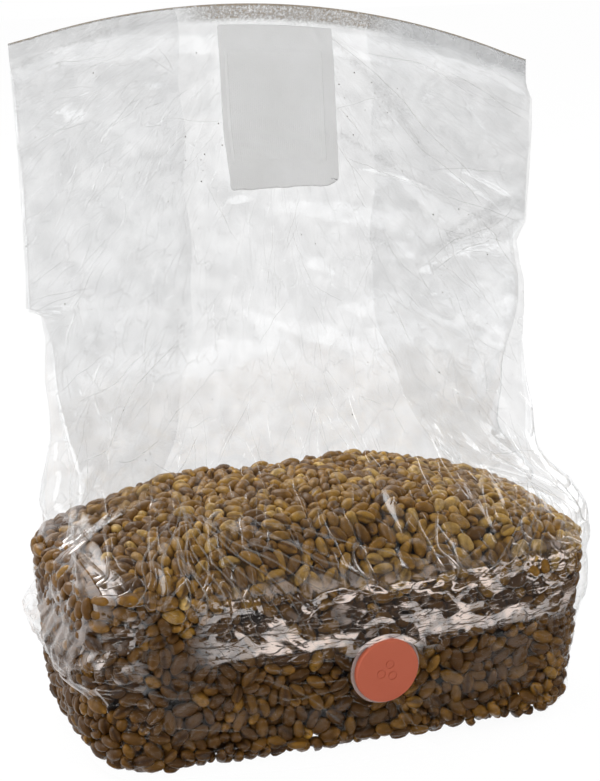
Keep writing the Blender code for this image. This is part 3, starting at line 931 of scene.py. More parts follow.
def kernel_piece(name, chosen, rng):
    shapes = rng.integers(len(KERNEL_SHAPES), size=len(chosen))
    solid = np.array([KERNEL_SHAPES[k][0] for k in shapes]) * MM
    crease_shade_and_tip = np.array([KERNEL_SHAPES[k][1] for k in shapes])
    ways = kernel_ways[chosen] * rng.choice((-1, 1), size=(len(chosen), 1))
    side = np.cross(ways, rng.normal(size=ways.shape))
    side /= np.linalg.norm(side, axis=1)[:, None]
    axes = np.stack([ways, side, np.cross(ways, side)], axis=1) * kernel_sizes[chosen, None, None]
    points = np.einsum("kpi,kij->kpj", solid, axes) + kernel_middles[chosen, None]
    per = len(KERNEL_SHAPES[0][0])
    faces = KERNEL_FACES[None] + (np.arange(len(chosen)) * per)[:, None, None]
    piece = new_piece(name, points.reshape(-1, 3), faces.reshape(-1, 3))
    x, _, z = kernel_middles[chosen].T / MM
    # Painted light and shade: paler on top of the brick and towards its right, darker low down and
    # on the left. The random spread added next is the wheat's own tone.
    painted_top_light = rise(z, 52.0, 16.0) * (1.0 - 0.6 * rise(-x, 70.0, 25.0))
    tone_and_painted_light = mix(0.2 - 0.14 * rise(-x, 20.0, 40.0), 0.59 + 0.14 * smooth(x / 60.0), painted_top_light)
    tones = np.clip(rng.normal(0.0, 0.2, len(chosen)) + tone_and_painted_light, 0.0, 1.0)
    store(piece, "tone_and_painted_light", np.repeat(tones, per))
    store(piece, "crease_shade_and_tip", crease_shade_and_tip.ravel())
    finish_piece(piece, wheat_material, "cooked_wheat", "grain")


for number, start in enumerate(range(0, KERNEL_COUNT, PER_PIECE)):
    chosen = np.arange(start, min(start + PER_PIECE, KERNEL_COUNT))
    kernel_piece(f"kernels_{number + 1}", chosen, rng)

# %% [markdown]
# ## Clear film
# A layer of film mirrors a small share of what meets it, more at a glance and along its creases,
# and lets the rest through. Glass would bend the light twice and take long to render. Here the
# film is a mirror-like surface whose Alpha is the share that it mirrors, so that four layers come
# out greyer than two, as on the real bag. Dust is a duller share on top, and where the film hazes
# over the grain it mirrors more, and warmer.

# %% Clear film
PLAIN_MIRROR, HAZY_MIRROR = (0.92, 0.94, 0.96), (0.90, 0.77, 0.70)
DULL_CREASE, DUST_BROWN = (0.52, 0.50, 0.47), (0.38, 0.32, 0.25)


def clear_film(name, detailed):
    """The film's material. Only the front has the short crinkles, their bumps and dust."""
    material, tree = new_material(name)
    weld, haze, layer = (stored(tree, label) for label in ("weld", "haze", "layer"))
    place = stored(tree, "crease", "Vector")
    ridges = use_group(tree, crinkle, Place=place, Shown=0.54).outputs[0]
    grime = weld
    if detailed:
        finer = {"Across": 0.48, "Along": 0.34, "Width": 0.08, "Shown": 0.5}
        short = use_group(tree, crinkle, Place=place, **finer).outputs[0]
        ridges = multiply_add(tree, short, 0.6, ridges)
        grain_size = {"Scale": 0.9, "Detail": 2.0, "Roughness": 0.7}
        flat_place = stored(tree, "flat", "Vector")
        specks = add_node(tree, "TexNoise", {"Vector": flat_place, **grain_size}).outputs[0]
        specks = add_node(tree, "MapRange", {0: specks, 1: 0.24, 2: 0.68}).outputs[0]
        grime = maths(tree, "MULTIPLY", specks, maths(tree, "MAXIMUM", stored(tree, "dust"), weld))
    ridges = maths(tree, "MULTIPLY", ridges, stored(tree, "creased"))
    normal = {"Normal": bump(tree, ridges, 0.5, 0.0005)} if detailed else {}
    facing = add_node(tree, "LayerWeight", {"Blend": 0.5, **normal}).outputs["Facing"]
    glance = maths(tree, "POWER", facing, 4.5)
    mirrored = multiply_add(tree, glance, 0.8, maths(tree, "ADD", haze, layer))
    scuffed = multiply_add(tree, ridges, 0.08, mirrored)
    veiled = multiply_add(tree, grime, 0.85, scuffed, clamp=True)
    dull = maths(tree, "MAXIMUM", grime, maths(tree, "MULTIPLY", ridges, 0.6), clamp=True)
    mirror = blend(tree, maths(tree, "MULTIPLY", haze, 2.2, clamp=True), PLAIN_MIRROR, HAZY_MIRROR)
    colour = blend(tree, grime, blend(tree, dull, mirror, DULL_CREASE), DUST_BROWN)
    dull_share = maths(tree, "MULTIPLY", dull, 0.9)
    principled(
        tree,
        {
            "Base Color": colour,
            "Metallic": maths(tree, "SUBTRACT", 1.0, dull_share, clamp=True),
            "Roughness": multiply_add(tree, layer, 1.1, multiply_add(tree, haze, 0.12, 0.02)),
            "Alpha": maths(tree, "MULTIPLY", veiled, stored(tree, "loose")),
            **normal,
        },
    )
    return material


film_material = clear_film("clear_film", True)
film_behind_material = clear_film("clear_film_behind", False)

# %% [markdown]
# ## The film as six sheets
# The tube of film is made as a front, a back and two legs in each gusset. One closed mesh would do
# as well, but sheets are plain grids, each with its own fineness. Every point also knows its place
# on the flat film, counted across from the middle of the front, so that creases run on over the
# edges.

# %% Grids of the sheets
SHEETS = ("front", "back", "right", "right_behind", "left", "left_behind")


def sheet_points(part):
    """The grid of one sheet, and the flat film's coordinates across and up it."""
    rows, flat = [], []
    for z, inset in LEVELS:
        panel, leg = quarter(z, inset, -1 if "left" in part else 1)
        if part in ("front", "back"):
            count = FRONT_COLUMNS if part == "front" else BACK_COLUMNS
            half = spaced(panel, count)
            left = half[:0:-1] * (-1.0, 1.0)
            row = np.concatenate((left, half))
            across = np.linspace(-CREASE_AT, CREASE_AT, 2 * count + 1)
            if part == "back":
                row = row[::-1] * (1.0, -1.0)
                across = across + BACK_AT + CREASE_AT
        else:
            row = spaced(leg, LEG_COLUMNS)
            across = np.linspace(CREASE_AT, TUCK_AT, LEG_COLUMNS + 1)
            if "behind" in part:
                row = row[::-1] * (1.0, -1.0)
                across = across + GUSSET_WIDTH / 2
            if "left" in part:
                row = row[::-1] * (-1.0, 1.0)
                across = -across[::-1]
        rows.append(np.column_stack((row, np.full(len(row), z))))
        flat.append(across)
    return np.array(rows), np.array(flat)

# %% [markdown]
# ## Film sucked onto the grain
# In the foot the film clings to the kernels, and that makes the bag look packed tight. A shrinkwrap
# modifier pulls straight to the nearest face and would crumple it. Here each point is pulled
# towards the nearest kernel's ball along the film's own way in, and not at all where film is
# loose.

# %% The kernels' balls
ball_offsets = BALLS_AT * kernel_sizes[:, None]
ball_spots = kernel_middles[:, None] + kernel_ways[:, None] * ball_offsets[..., None]
ball_spots = ball_spots.reshape(-1, 3)
ball_radius = (BALL_SIZES * kernel_sizes[:, None]).ravel()
ball_tree = KDTree(len(ball_spots))
for n, spot in enumerate(ball_spots):
    ball_tree.insert(spot, n)
ball_tree.balance()
print("balls for the film to cling to:", len(ball_spots))

# %% Crease and stand a sheet
FILM_GAP = 0.35 * MM
BELLY_OUT, TOP_RISE = 2.4 * MM, 1.8 * MM


def bent(grid, flat):
    """Crease a sheet, stand it up, and suck it onto the kernels in the foot."""
    z = grid[..., 2]
    flatten = mix(1.0, 0.12, smooth((z - SEAL_BASE + 0.014) / 0.014))
    grid = grid * np.stack([np.ones_like(z), flatten, np.ones_like(z)], axis=-1)
    normal = grid_normals(grid)
    high = crumple(flat / MM, z / MM) * MM
    low, up = stand(grid), stand(grid + normal * MM)
    out = (up - low) / MM
    points = low + out * high[..., None]
    points[..., 0] += edge_shift(grid[..., 0], z)
    belly = np.exp(-(((z - 0.05) / 0.015) ** 2)) * (np.abs(flat) < CREASE_AT)
    points[..., 1] -= BELLY_OUT * belly * np.cos(flat / CREASE_AT * math.pi / 2)
    top_bow = np.maximum(1 - (grid[..., 0] / 0.085) ** 2, -0.2)
    points[..., 2] += TOP_RISE * head_share(z) ** 3 * top_bow
    points = rest_wider(points)
    u, v = flat / MM, z / MM
    tight = (1.0 - looseness(u, v)) * smooth((SHOULDER_HEIGHT / MM + 12.0 - v) / 20.0)
    tight = tight * (1.0 - port_cover(u, v))
    furthest = mix(7.0, 1.5, smooth(v / 18.0)) * MM
    hold = mix(1.0, 0.85, smooth(v / 16.0)) - 0.2 * band_cover(u, v)
    for i, j in np.argwhere(tight > 0.02):
        _, ball, far = ball_tree.find(points[i, j])
        pull = min(max(far - ball_radius[ball] - FILM_GAP, 0.0), furthest[i, j])
        points[i, j] -= out[i, j] * pull * hold[i, j] * tight[i, j]
    return points

# %% [markdown]
# ## Dust, haze and weld
# The material reads where the film is welded, dusty, hazy, doubled or creased from values kept at
# the points. They could be painted, but formulas over the flat film follow the folds exactly. Dust
# lies along a few lines of the real bag, given by their ends and width in millimetres.

# %% Marks on the film
DUST = [
    ((22, 262), (52, 236), 3.5),
    ((38, 248), (44, 238), 4.5),
    ((40, 246), (58, 222), 2.5),
    ((56, 180), (88, 196), 3.5),
    ((66, 188), (92, 206), 2.5),
    ((-20, 270), (30, 270), 6),
    ((24, 226), (60, 206), 2),
    ((-96, 264), (-60, 269), 2.5),
]


def add_marks(piece, part, grid, flat):
    """Store where each point lies on the flat film, for the material's creases and weld."""
    x, z = grid[..., 0] / MM, grid[..., 2] / MM
    u = flat / MM
    head = rise(z, 62.0, 18.0)
    turn, far = np.arctan2(x, 285.0 - z), np.hypot(x, 285.0 - z)
    across = mix(u / 15.0, turn * 17.0, head) + 40.0 * SHEETS.index(part)
    along = mix(z / 4.2 - 12.0, (300.0 - far) / 22.0, head)
    for label, first, second in (("crease", across, along), ("flat", u, z)):
        store(piece, label, np.stack([first, second, np.zeros_like(z)], axis=-1), "FLOAT_VECTOR")
    middle = 0.1 + 0.9 * smooth((46.0 - np.abs(x - 6.0)) / 20.0)
    weld = rise(z, SEAL_BASE / MM - 0.6, 1.2) * middle
    weld = weld + 2.0 * smooth((z - BAG_HEIGHT / MM + 0.9) / 0.8) * (z > BAG_HEIGHT / MM - 0.5)
    dust = np.zeros_like(z)
    for (x0, z0), (x1, z1), width in DUST:
        length = (x1 - x0) ** 2 + (z1 - z0) ** 2
        share = np.clip(((x - x0) * (x1 - x0) + (z - z0) * (z1 - z0)) / length, 0, 1)
        far = np.hypot(x - x0 - share * (x1 - x0), z - z0 - share * (z1 - z0))
        dust = np.maximum(dust, 0.28 * smooth(1.0 - far / width))
    if np.abs(flat).max() > CREASE_AT * 1.01:
        weld, dust = weld * 0.16, dust * 0.0
    side = rise(-u, 80.0, 14.0) * smooth((92.0 - z) / 20.0)
    cloudy = smooth(0.5 + 1.3 * facet(u / 11.0, z / 8.0) + 0.8 * fine(u / 4.0, z / 3.5))
    haze = 0.5 * np.maximum(mix(0.4, 1.0, cloudy) * band_cover(u, z), 0.52 * cloudy * side)
    panel = np.ptp(flat) > 1.5 * CREASE_AT
    layer = mix(0.018, 0.14 if panel else 0.07, head)
    patches = 0.45 * facet(u / 13.0 + 3.0, z / 11.0) + 0.35 * fine(u / 4.6, z / 5.4 + 9.0)
    layer = layer * (1.0 + head * patches)
    layer = layer + 0.08 * rise(z, 260.0, 8.0) * rise(x, 34.0, 20.0)
    loose = mix(0.25, 1.0, rise(z, 10.0, 14.0))
    masks = {"weld": weld, "dust": dust, "haze": haze, "layer": layer, "loose": loose}
    tucks = np.exp(-(((u + 60.0) / 28.0) ** 2) - ((z - 78.0) / 15.0) ** 2)
    tucks = tucks + np.exp(-(((u - 82.0) / 24.0) ** 2) - ((z - 86.0) / 17.0) ** 2)
    creased = (1.0 - 0.85 * calm(u, z)) * (1.0 - 0.5 * band_cover(u, z))
    masks["creased"] = creased + 2.2 * tucks + 1.2 * side
    for label, values in masks.items():
        store(piece, label, values)

# %% [markdown]
# ## The sheets together
# The six sheets are made one after another, each creased, stood up, pulled in and marked in the
# same way. The front sheet's points are kept, because pleats and drops are laid on it later.

# %% Make the sheets
for part in SHEETS:
    grid, flat = sheet_points(part)
    points = bent(grid, flat)
    if part == "front":
        front_grid, front_points = grid, points
    piece = new_piece("film_" + part, points.reshape(-1, 3), grid_faces(*points.shape[:2]))
    add_marks(piece, part, grid, flat)
    material = film_material if part == "front" else film_behind_material
    finish_piece(piece, material, "clear_film", "bag_film")

# %% [markdown]
# ## The film under the foot
# The tube's lower end is folded under the foot, where nobody sees its folds. One flat sheet closes
# it: the lowest level's outline, drawn four times towards the middle.

# %% The film under the foot


def bottom_points():
    z, inset = LEVELS[0]
    panel, leg = quarter(z, inset, 1)
    corner = np.concatenate((panel, leg[1:]))
    turned = corner[::-1]
    ring = np.concatenate((corner, turned * (1, -1), corner * (-1, -1), turned * (-1, 1)))
    level = np.column_stack((ring, np.zeros(len(ring))))
    return np.array([level * share for share in (1.0, 0.7, 0.35, 0.0)])


grid = bottom_points()
points = rest_wider(stand(grid))
piece = new_piece("film_bottom", points.reshape(-1, 3), grid_faces(*grid.shape[:2]))
finish_piece(piece, film_behind_material, "clear_film", "bag_film")

# %% [markdown]
# ## Pleats
# The sharpest creases are too narrow for the film's own mesh. Each is laid on the front sheet as
# a ribbon half a millimetre wide, bent to a small roof, and shaded as film that has gone dull
# along its crease: a darker line over white, and a paler one over the grain.

# %% Dull film for pleats
pleat_material, tree = new_material("creased_film")
principled(
    tree, {"Base Color": (0.60, 0.575, 0.54), "Metallic": 0.35, "Roughness": 0.28, "Alpha": 0.24}
)

# %% [markdown]
# ## A place on the film
# Pleats, drops and specks are given by where they are on the flat film. A function finds that
# place on the creased and standing front sheet, between the sheet's points, and the way out of the
# film there.

# %% Find a place on the front sheet
front_normals = grid_normals(front_points)
front_z = front_grid[:, 0, 2] / MM


def on_film(u, v):
    """Points of the front sheet, and the ways out of it, at flat-film coordinates in mm."""
    rows = np.clip(np.interp(v, front_z, np.arange(len(front_z))), 0, len(front_z) - 1.001)
    last = front_grid.shape[1] - 1
    columns = np.clip((np.asarray(u) * MM + CREASE_AT) / (2 * CREASE_AT) * last, 0, last - 0.001)
    i, j = rows.astype(int), columns.astype(int)
    a, b = (rows - i)[..., None], (columns - j)[..., None]
    low = mix(front_points[i, j], front_points[i, j + 1], b)
    high = mix(front_points[i + 1, j], front_points[i + 1, j + 1], b)
    return mix(low, high, a), front_normals[i, j]

# %% [markdown]
# ## One pleat
# A pleat is a path drawn through a few points. A perfectly straight ribbon looks like a wire, so
# it wavers, and its width swells and thins to nothing at both ends.

# %% One pleat
PLEAT_STEPS = 44


def pleat_strip(path, width, height, rng):
    """A roof-shaped ribbon along a path of (u, v) points, wavering and thinning on its way."""
    path = np.array(path, float)
    along = np.linspace(0, len(path) - 1, PLEAT_STEPS)
    u = np.interp(along, np.arange(len(path)), path[:, 0])
    v = np.interp(along, np.arange(len(path)), path[:, 1])
    seed = rng.uniform(0, 90)
    length = math.hypot(*(path[-1] - path[0]))
    wave = soft(along / (len(path) - 1) * 3.0 + seed, np.full(PLEAT_STEPS, seed)) * 0.03 * length
    du, dv = np.gradient(u), np.gradient(v)
    size = np.hypot(du, dv) + 1e-9
    u, v = u - dv / size * wave, v + du / size * wave
    thin = np.sin(np.linspace(0, math.pi, PLEAT_STEPS)) ** 0.5
    thin = thin * (0.55 + 0.45 * soft(along * 4.0 + seed, np.full(PLEAT_STEPS, 3.0)))
    rows = []
    for across, up in ((-0.5, 0.04), (0.0, 1.0), (0.5, 0.04)):
        spot, way = on_film(
            u - dv / size * across * width * thin, v + du / size * across * width * thin
        )
        rows.append(spot + way * (up * height * thin[:, None] + 0.05) * MM)
    return np.array(rows)

# %% [markdown]
# ## All the pleats
# The long ones are laid one by one where the real bag has them, and a fan of them leaves each tuck.
# Short ones are strewn over the head, where it isn't calm, and over the foot beside the port.

# %% Paths of the pleats
PLEATS = [
    [(20, 262), (39, 250), (50, 240), (66, 224), (86, 206)],
    [(24, 236), (33, 226)],
    [(24, 218), (38, 213), (60, 206)],
    [(62, 206), (78, 202), (98, 195)],
    [(60, 214), (76, 217), (92, 217)],
    [(44, 234), (58, 222), (74, 211), (84, 198)],
    [(68, 258), (82, 252), (99, 244)],
    [(34, 258), (58, 258), (78, 250)],
    [(56, 174), (70, 186), (86, 192), (96, 204)],
    [(60, 172), (74, 182), (88, 187)],
    [(80, 196), (90, 188), (99, 172)],
    [(-60, 148), (-74, 138), (-92, 132)],
    [(-46, 152), (-66, 136), (-82, 118), (-96, 112)],
    [(-66, 112), (-58, 106), (-46, 118)],
    [(-60, 104), (-57, 96), (-54, 90)],
    [(-62, 118), (-72, 112), (-80, 112)],
    [(-48, 96), (-36, 86), (-22, 80), (-8, 74)],
    [(-46, 93), (-40, 82), (-32, 74), (-26, 62), (-20, 50)],
    [(-54, 95), (-60, 84), (-60, 72), (-52, 66), (-47, 76)],
    [(-56, 96), (-70, 84), (-78, 70)],
    [(-50, 96), (-30, 92), (-8, 86), (14, 78), (34, 74)],
    [(-44, 94), (-14, 80), (10, 70)],
    [(66, 108), (80, 96), (92, 82)],
    [(78, 93), (70, 80), (58, 70)],
    [(80, 94), (86, 80), (88, 66)],
    [(60, 88), (50, 78), (38, 74), (22, 74)],
    [(-3, 80), (2, 68), (6, 56)],
    [(0, 62), (4, 54), (4, 50)],
    [(-46, 40), (-30, 34), (-14, 22), (-4, 12)],
    [(-40, 38), (-26, 30)],
    [(-70, 60), (-58, 52), (-50, 44)],
    [(-96, 42), (-80, 34), (-66, 32)],
    [(-84, 22), (-66, 20), (-50, 18)],
    [(-24, 44), (-12, 43), (-6, 40)],
    [(-30, 36), (-16, 34), (-7, 35)],
    [(-38, 28), (-22, 29), (-8, 31)],
    [(22, 44), (34, 47), (46, 46)],
    [(14, 24), (20, 14), (28, 4)],
    [(12, 24), (16, 18), (20, 8)],
    [(90, 48), (93, 36), (90, 22)],
    [(86, 36), (90, 24), (84, 12)],
    [(40, 72), (60, 70), (84, 66)],
    [(46, 64), (52, 56), (60, 52)],
]
LEFT_FAN = (
    (-86, 72), (-80, 64), (-72, 58), (-62, 54), (-52, 54), (-42, 55), (-30, 58), (-20, 62),
    (-8, 66),
)
RIGHT_FAN = ((52, 68), (60, 62), (68, 58), (78, 60), (88, 64), (96, 72))

# %% Make the pleats
HEAD_PLEATS, FOOT_PLEATS = 150, 90
pleat_rng = np.random.default_rng(14)
strips = [pleat_strip(path, 0.75, 0.45, pleat_rng) for path in PLEATS]
strips += [pleat_strip([LEFT_TUCK, end], 1.1, 0.6, pleat_rng) for end in LEFT_FAN]
strips += [pleat_strip([RIGHT_TUCK, end], 1.0, 0.6, pleat_rng) for end in RIGHT_FAN]


def short_pleat(u, v, angle, length, width, height):
    du, dv = math.cos(angle) * length / 2, math.sin(angle) * length / 2
    return pleat_strip([(u - du, v - dv), (u + du, v + dv)], width, height, pleat_rng)


for _ in range(HEAD_PLEATS):
    u, v = pleat_rng.uniform(-96, 96), 64 + 200 * pleat_rng.random() ** 1.4
    if (abs(u) > 26 or v < 198) and calm(u, v) < 0.3:
        angle, length = fan_angle(pleat_rng, u, v), pleat_rng.uniform(5, 34)
        strips.append(short_pleat(u, v, angle, length, 0.4, 0.25))
for _ in range(FOOT_PLEATS):
    u, v = pleat_rng.uniform(-96, 96), pleat_rng.uniform(8, 76)
    if math.hypot(u - 8, v - 37) > 16:
        angle, length = pleat_rng.normal(-0.25, 0.6), pleat_rng.uniform(4, 16)
        strips.append(short_pleat(u, v, angle, length, 0.5, 0.3))


def joined(name, grids, material, slot, node):
    """One piece from many grids of equal size."""
    per = grids[0].shape[0] * grids[0].shape[1]
    faces = grid_faces(*grids[0].shape[:2])
    faces = faces[None] + (np.arange(len(grids)) * per)[:, None, None]
    piece = new_piece(name, np.array(grids).reshape(-1, 3), faces.reshape(-1, 4))
    finish_piece(piece, material, slot, node)


print("pleats:", len(strips))
joined("pleats", strips, pleat_material, "clear_film", "bag_film")

# %% [markdown]
# ## Droplets and specks
# Water has gathered into a few flat drops inside the film, and bits of husk stick to it. The
# drops are low domes of the same clear material, whose steep rims draw the thin rings of the
# photo, and the specks are tiny lumps.

# %% One drop


def dome(centre, normal, radius, height, rings=4, points=12):
    """A low dome over a point: rings of points from the rim to the top."""
    side = np.cross(normal, (0.0, 0.0, 1.0))
    side /= np.linalg.norm(side)
    up = np.cross(side, normal)
    rows = []
    for i in range(rings + 1):
        t = math.pi / 2 * i / rings
        turn = np.linspace(0, 2 * math.pi, points + 1)[:, None]
        ring = (side * np.cos(turn) + up * np.sin(turn)) * radius * math.cos(t)
        rows.append(centre + ring + normal * height * math.sin(t))
    return np.array(rows)

# %% Drops and specks on the front sheet
DROPS = [
    (-49, 258, 2.1), (-53, 246, 1.3), (-79, 199, 1.5), (-87, 187, 1.5), (-45, 142, 1.3),
    (-68, 117, 2.4), (-66, 96, 2.8), (66, 115, 1.4), (-33, 182, 1.0), (-22, 254, 0.9),
    (-62, 172, 0.8), (-40, 167, 0.9), (-50, 166, 0.9), (30, 150, 0.8), (74, 168, 0.9),
    (12, 170, 0.7), (-14, 128, 0.9),
]
SPECKS = [
    (-70, 254), (-69, 252.5), (-31, 256), (-31.5, 217), (-31, 213), (-32, 209), (-37, 226),
    (-30, 219), (-24, 230), (-23, 222), (24, 245), (26, 240), (27, 233), (30, 250), (34, 236),
    (38, 243), (41, 240), (40, 238), (43, 236), (45, 233), (37, 247), (29, 226), (61, 196),
    (72, 199), (76, 197), (86, 180), (-88, 168), (-80, 165), (-58, 140), (-74, 128), (18, 120),
    (48, 108), (60, 132), (84, 150),
]
speck_rng = np.random.default_rng(8)
drops = [dome(*on_film(x, z), r * MM, 0.55 * r * MM) for x, z, r in DROPS]
for _ in range(36):
    r = speck_rng.uniform(0.35, 0.8)
    spot = on_film(speck_rng.uniform(-96, 96), speck_rng.uniform(85, 262))
    drops.append(dome(*spot, r * MM, 0.5 * r * MM))
joined("drops", drops, film_behind_material, "clear_film", "bag_film")
speck_material, tree = new_material("husk_bits")
principled(tree, {"Base Color": (0.09, 0.06, 0.035), "Roughness": 0.7})
specks = []
for x, z in SPECKS:
    r = speck_rng.uniform(0.15, 0.32)
    specks.append(dome(*on_film(x, z), r * MM, 0.15 * MM, 2, 6))
for _ in range(70):
    spot = on_film(speck_rng.uniform(-98, 98), speck_rng.uniform(60, 268))
    specks.append(dome(*spot, speck_rng.uniform(0.1, 0.22) * MM, 0.1 * MM, 2, 6))
joined("husk_bits", specks, speck_material, "clear_film", "bag_film")

# %% [markdown]
# ## Painted shade inside the brick
# Between the outer kernels one looks into deep shade. Filling the brick with kernels would cost a
# million triangles for nothing, so a dark core stands behind them as painted shade: the grain
# solid's own mesh, drawn in along its normals.

# %% Painted shade inside the brick
CORE_DEPTH = 7.0 * MM
grain_normals = np.array([v.normal for v in grain_mesh.vertices])
shade_core_material, tree = new_material("painted_shade_core")
# Near-black painted shade for the gaps between the kernels
principled(tree, {"Base Color": (0.03, 0.014, 0.004), "Roughness": 0.7})
core = new_piece("painted_shade_core", grain_corners - grain_normals * CORE_DEPTH, grain_faces)
finish_piece(core, shade_core_material, "cooked_wheat", "grain")

# %% [markdown]
# ## Fleece
# The filter patch is a fine non-woven sheet, matt and pale grey. Its fibres are too fine to model
# and too random to weave, so they are a bump of fine noise, with faint clouds in the colour.

# %% Fleece
fleece_material, tree = new_material("filter_fleece")
fibres = use_group(tree, mottle, Scale=1500.0, Detail=4.0)
clouds = use_group(tree, mottle, Scale=60.0, Detail=3.0)
principled(
    tree,
    {
        "Base Color": blend(tree, clouds.outputs[0], (0.66, 0.66, 0.655), (0.71, 0.71, 0.71)),
        "Roughness": 0.8,
        "Normal": bump(tree, fibres.outputs[0], 0.2, 0.0002),
    },
)

# %% [markdown]
# ## The filter patch
# The patch is welded on through a ribbed die, which leaves ribs, a raised middle and a flat rim. A
# box with a picture of ribs would look painted, so its sheet is a fine grid with the relief in its
# shape. It follows the same creased film, with its corners cut round.

# %% The patch's sheet
RIB_PITCH = 0.78 * MM
PATCH_COLUMNS, PATCH_ROWS = 261, 90
PATCH_CORNERS = {(-1, 1): 0.8, (1, 1): 1.2, (-1, -1): 1.6, (1, -1): 5.2}
PATCH_RAISE = 1.5 * MM
PATCH_THICKNESS = 0.0004
RAISED_X, RAISED_Z = -1.2 * MM, 0.8 * MM  # the middle of the raised part
RAISED_HALF_WIDTH, RAISED_HALF_HEIGHT = 18.4 * MM, 20.2 * MM


def front_place(x, z, out):
    """Points this far in front of the creased front panel."""
    depth = np.empty_like(x)
    for i in range(len(z)):
        half_length, half_depth, corner, _ = section(float(z[i].mean()))
        flatten = mix(1.0, 0.12, float(smooth((z[i].mean() - SEAL_BASE + 0.014) / 0.014)))
        depth[i] = flatten * (half_depth + bow(z[i]) * (1 - (x[i] / (half_length - corner)) ** 2))
    depth = depth + crumple(x / MM, z / MM) * MM
    return stand(np.stack([x, -depth - out, z], axis=-1))


def cut_corners(x, z):
    """Pull the corners of a square grid in onto arcs, each with its own radius."""
    nx, nz = x.copy(), z.copy()
    for (side, end), radius in PATCH_CORNERS.items():
        ix, iz = PATCH_WIDTH / 2 - radius * MM, PATCH_HEIGHT / 2 - radius * MM
        dx, dz = x * side - ix, z * end - iz
        inside = (dx > 0) & (dz > 0)
        far = np.hypot(dx, dz)[inside]
        share = np.maximum(dx, dz)[inside] / np.maximum(far, 1e-12)
        nx[inside] = side * (ix + dx[inside] * share)
        nz[inside] = end * (iz + dz[inside] * share)
    return nx, nz


def make_patch():
    x, z = np.meshgrid(
        np.linspace(-PATCH_WIDTH / 2, PATCH_WIDTH / 2, PATCH_COLUMNS),
        np.linspace(-PATCH_HEIGHT / 2, PATCH_HEIGHT / 2, PATCH_ROWS),
    )
    rim = np.maximum(
        np.abs(x - RAISED_X) - RAISED_HALF_WIDTH, np.abs(z - RAISED_Z) - RAISED_HALF_HEIGHT
    )
    raised = 1.0 - smooth(rim / (0.5 * MM))
    lip = np.exp(-((rim / (0.45 * MM)) ** 2))
    low = smooth((-z / MM + 10.0) / 20.0)
    ribs = np.sin(2 * math.pi * x / RIB_PITCH) * (0.35 + 0.65 * low) * (0.45 + 0.55 * raised)
    out = 0.75 * MM + 0.12 * MM * raised + 0.12 * MM * lip + 0.05 * MM * ribs
    out = out + 0.25 * MM * soft(x / (9 * MM), z / (14 * MM))
    corner_fold = np.exp(-(((x / MM - 17.0 + (z / MM - 26.0) * 0.6) / 1.6) ** 2))
    out = out + 0.5 * MM * rise(z / MM, 22.0, 6.0) * corner_fold
    nx, nz = cut_corners(x, z)
    nx = nx + 1.6 * MM * rise(-z / MM, 6.0, 25.0) * smooth((-x / MM + 4.0) / 26.0)
    nz = nz + (0.35 * soft(x / (6 * MM), 0.5) + x / PATCH_WIDTH * 1.6) * MM * (z < -0.028)
    points = front_place(nx, nz + PATCH_Z + PATCH_RAISE, out)
    piece = new_piece("filter_patch_sheet", points.reshape(-1, 3), grid_faces(*points.shape[:2]))
    thick = piece.modifiers.new("thickness", "SOLIDIFY")
    thick.thickness = PATCH_THICKNESS
    thick.offset = -1.0
    return piece


finish_piece(make_patch(), fleece_material, "filter_fleece", "filter_patch")

# %% [markdown]
# ## Silicone and adhesive
# The port is a matt disc of red silicone and the pad under it a clear adhesive sheet. Their packed
# solids already have the right shape, down to the ring marks, so they only get a finish.

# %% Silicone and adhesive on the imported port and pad
silicone_material, tree = new_material("red_silicone")
speckle = use_group(tree, mottle, Scale=900.0, Detail=4.0)
silicone_bump = bump(tree, speckle.outputs[0], 0.12, 0.0002)
principled(tree, {"Base Color": (0.52, 0.108, 0.05), "Roughness": 0.55, "Normal": silicone_bump})
adhesive_material, tree = new_material("clear_adhesive")
principled(tree, {"Base Color": (0.80, 0.64, 0.60), "Roughness": 0.2, "Alpha": 0.35})
for node, material in (("injection_port", silicone_material), ("adhesive_pad", adhesive_material)):
    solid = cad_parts[node].data
    solid.materials.clear()
    solid.materials.append(material)
    print(node, "is shown with", material.name)

# %% [markdown]
# ## The photo studio
# The bag stands on a pale floor against white. The world gives an even light that only matt
# surfaces see, while the camera sees it as plain white, so the background stays white without more
# light on the bag. The floor keeps a little of the bag's shadow.

# %% Floor and world
bpy.ops.mesh.primitive_plane_add(size=6.0)
floor = bpy.context.object
floor.name = "floor"
floor.visible_glossy = False
floor_material, tree = new_material("pale_floor")
paths = tree.nodes.new("ShaderNodeLightPath")
lit = add_node(tree, "BsdfDiffuse", {"Color": (0.9, 0.9, 0.9)})
white = add_node(tree, "Emission", {"Color": (1.0, 1.0, 1.0), "Strength": 1.02})
seen = maths(tree, "MULTIPLY", paths.outputs["Is Camera Ray"], 0.94)
floor_mix = add_node(tree, "MixShader", {0: seen, 1: lit.outputs[0], 2: white.outputs[0]})
show(tree, floor_mix.outputs[0])
floor.data.materials.append(floor_material)

world = bpy.data.worlds.new("studio")
bpy.context.scene.world = world
world.use_nodes = True
tree = world.node_tree
tree.nodes.clear()
paths = tree.nodes.new("ShaderNodeLightPath")
direct = maths(tree, "MAXIMUM", paths.outputs["Is Camera Ray"], paths.outputs["Is Glossy Ray"])
direct = maths(tree, "MAXIMUM", direct, paths.outputs["Is Transmission Ray"])
fill = add_node(tree, "Background", {"Color": (1.0, 1.0, 1.0), "Strength": 0.54})
backdrop = add_node(tree, "Background", {"Color": (1.0, 1.0, 1.0), "Strength": 1.0})
sky = add_node(tree, "MixShader", {0: direct, 1: fill.outputs[0], 2: backdrop.outputs[0]})
world_out = tree.nodes.new("ShaderNodeOutputWorld")
tree.links.new(sky.outputs[0], world_out.inputs["Surface"])

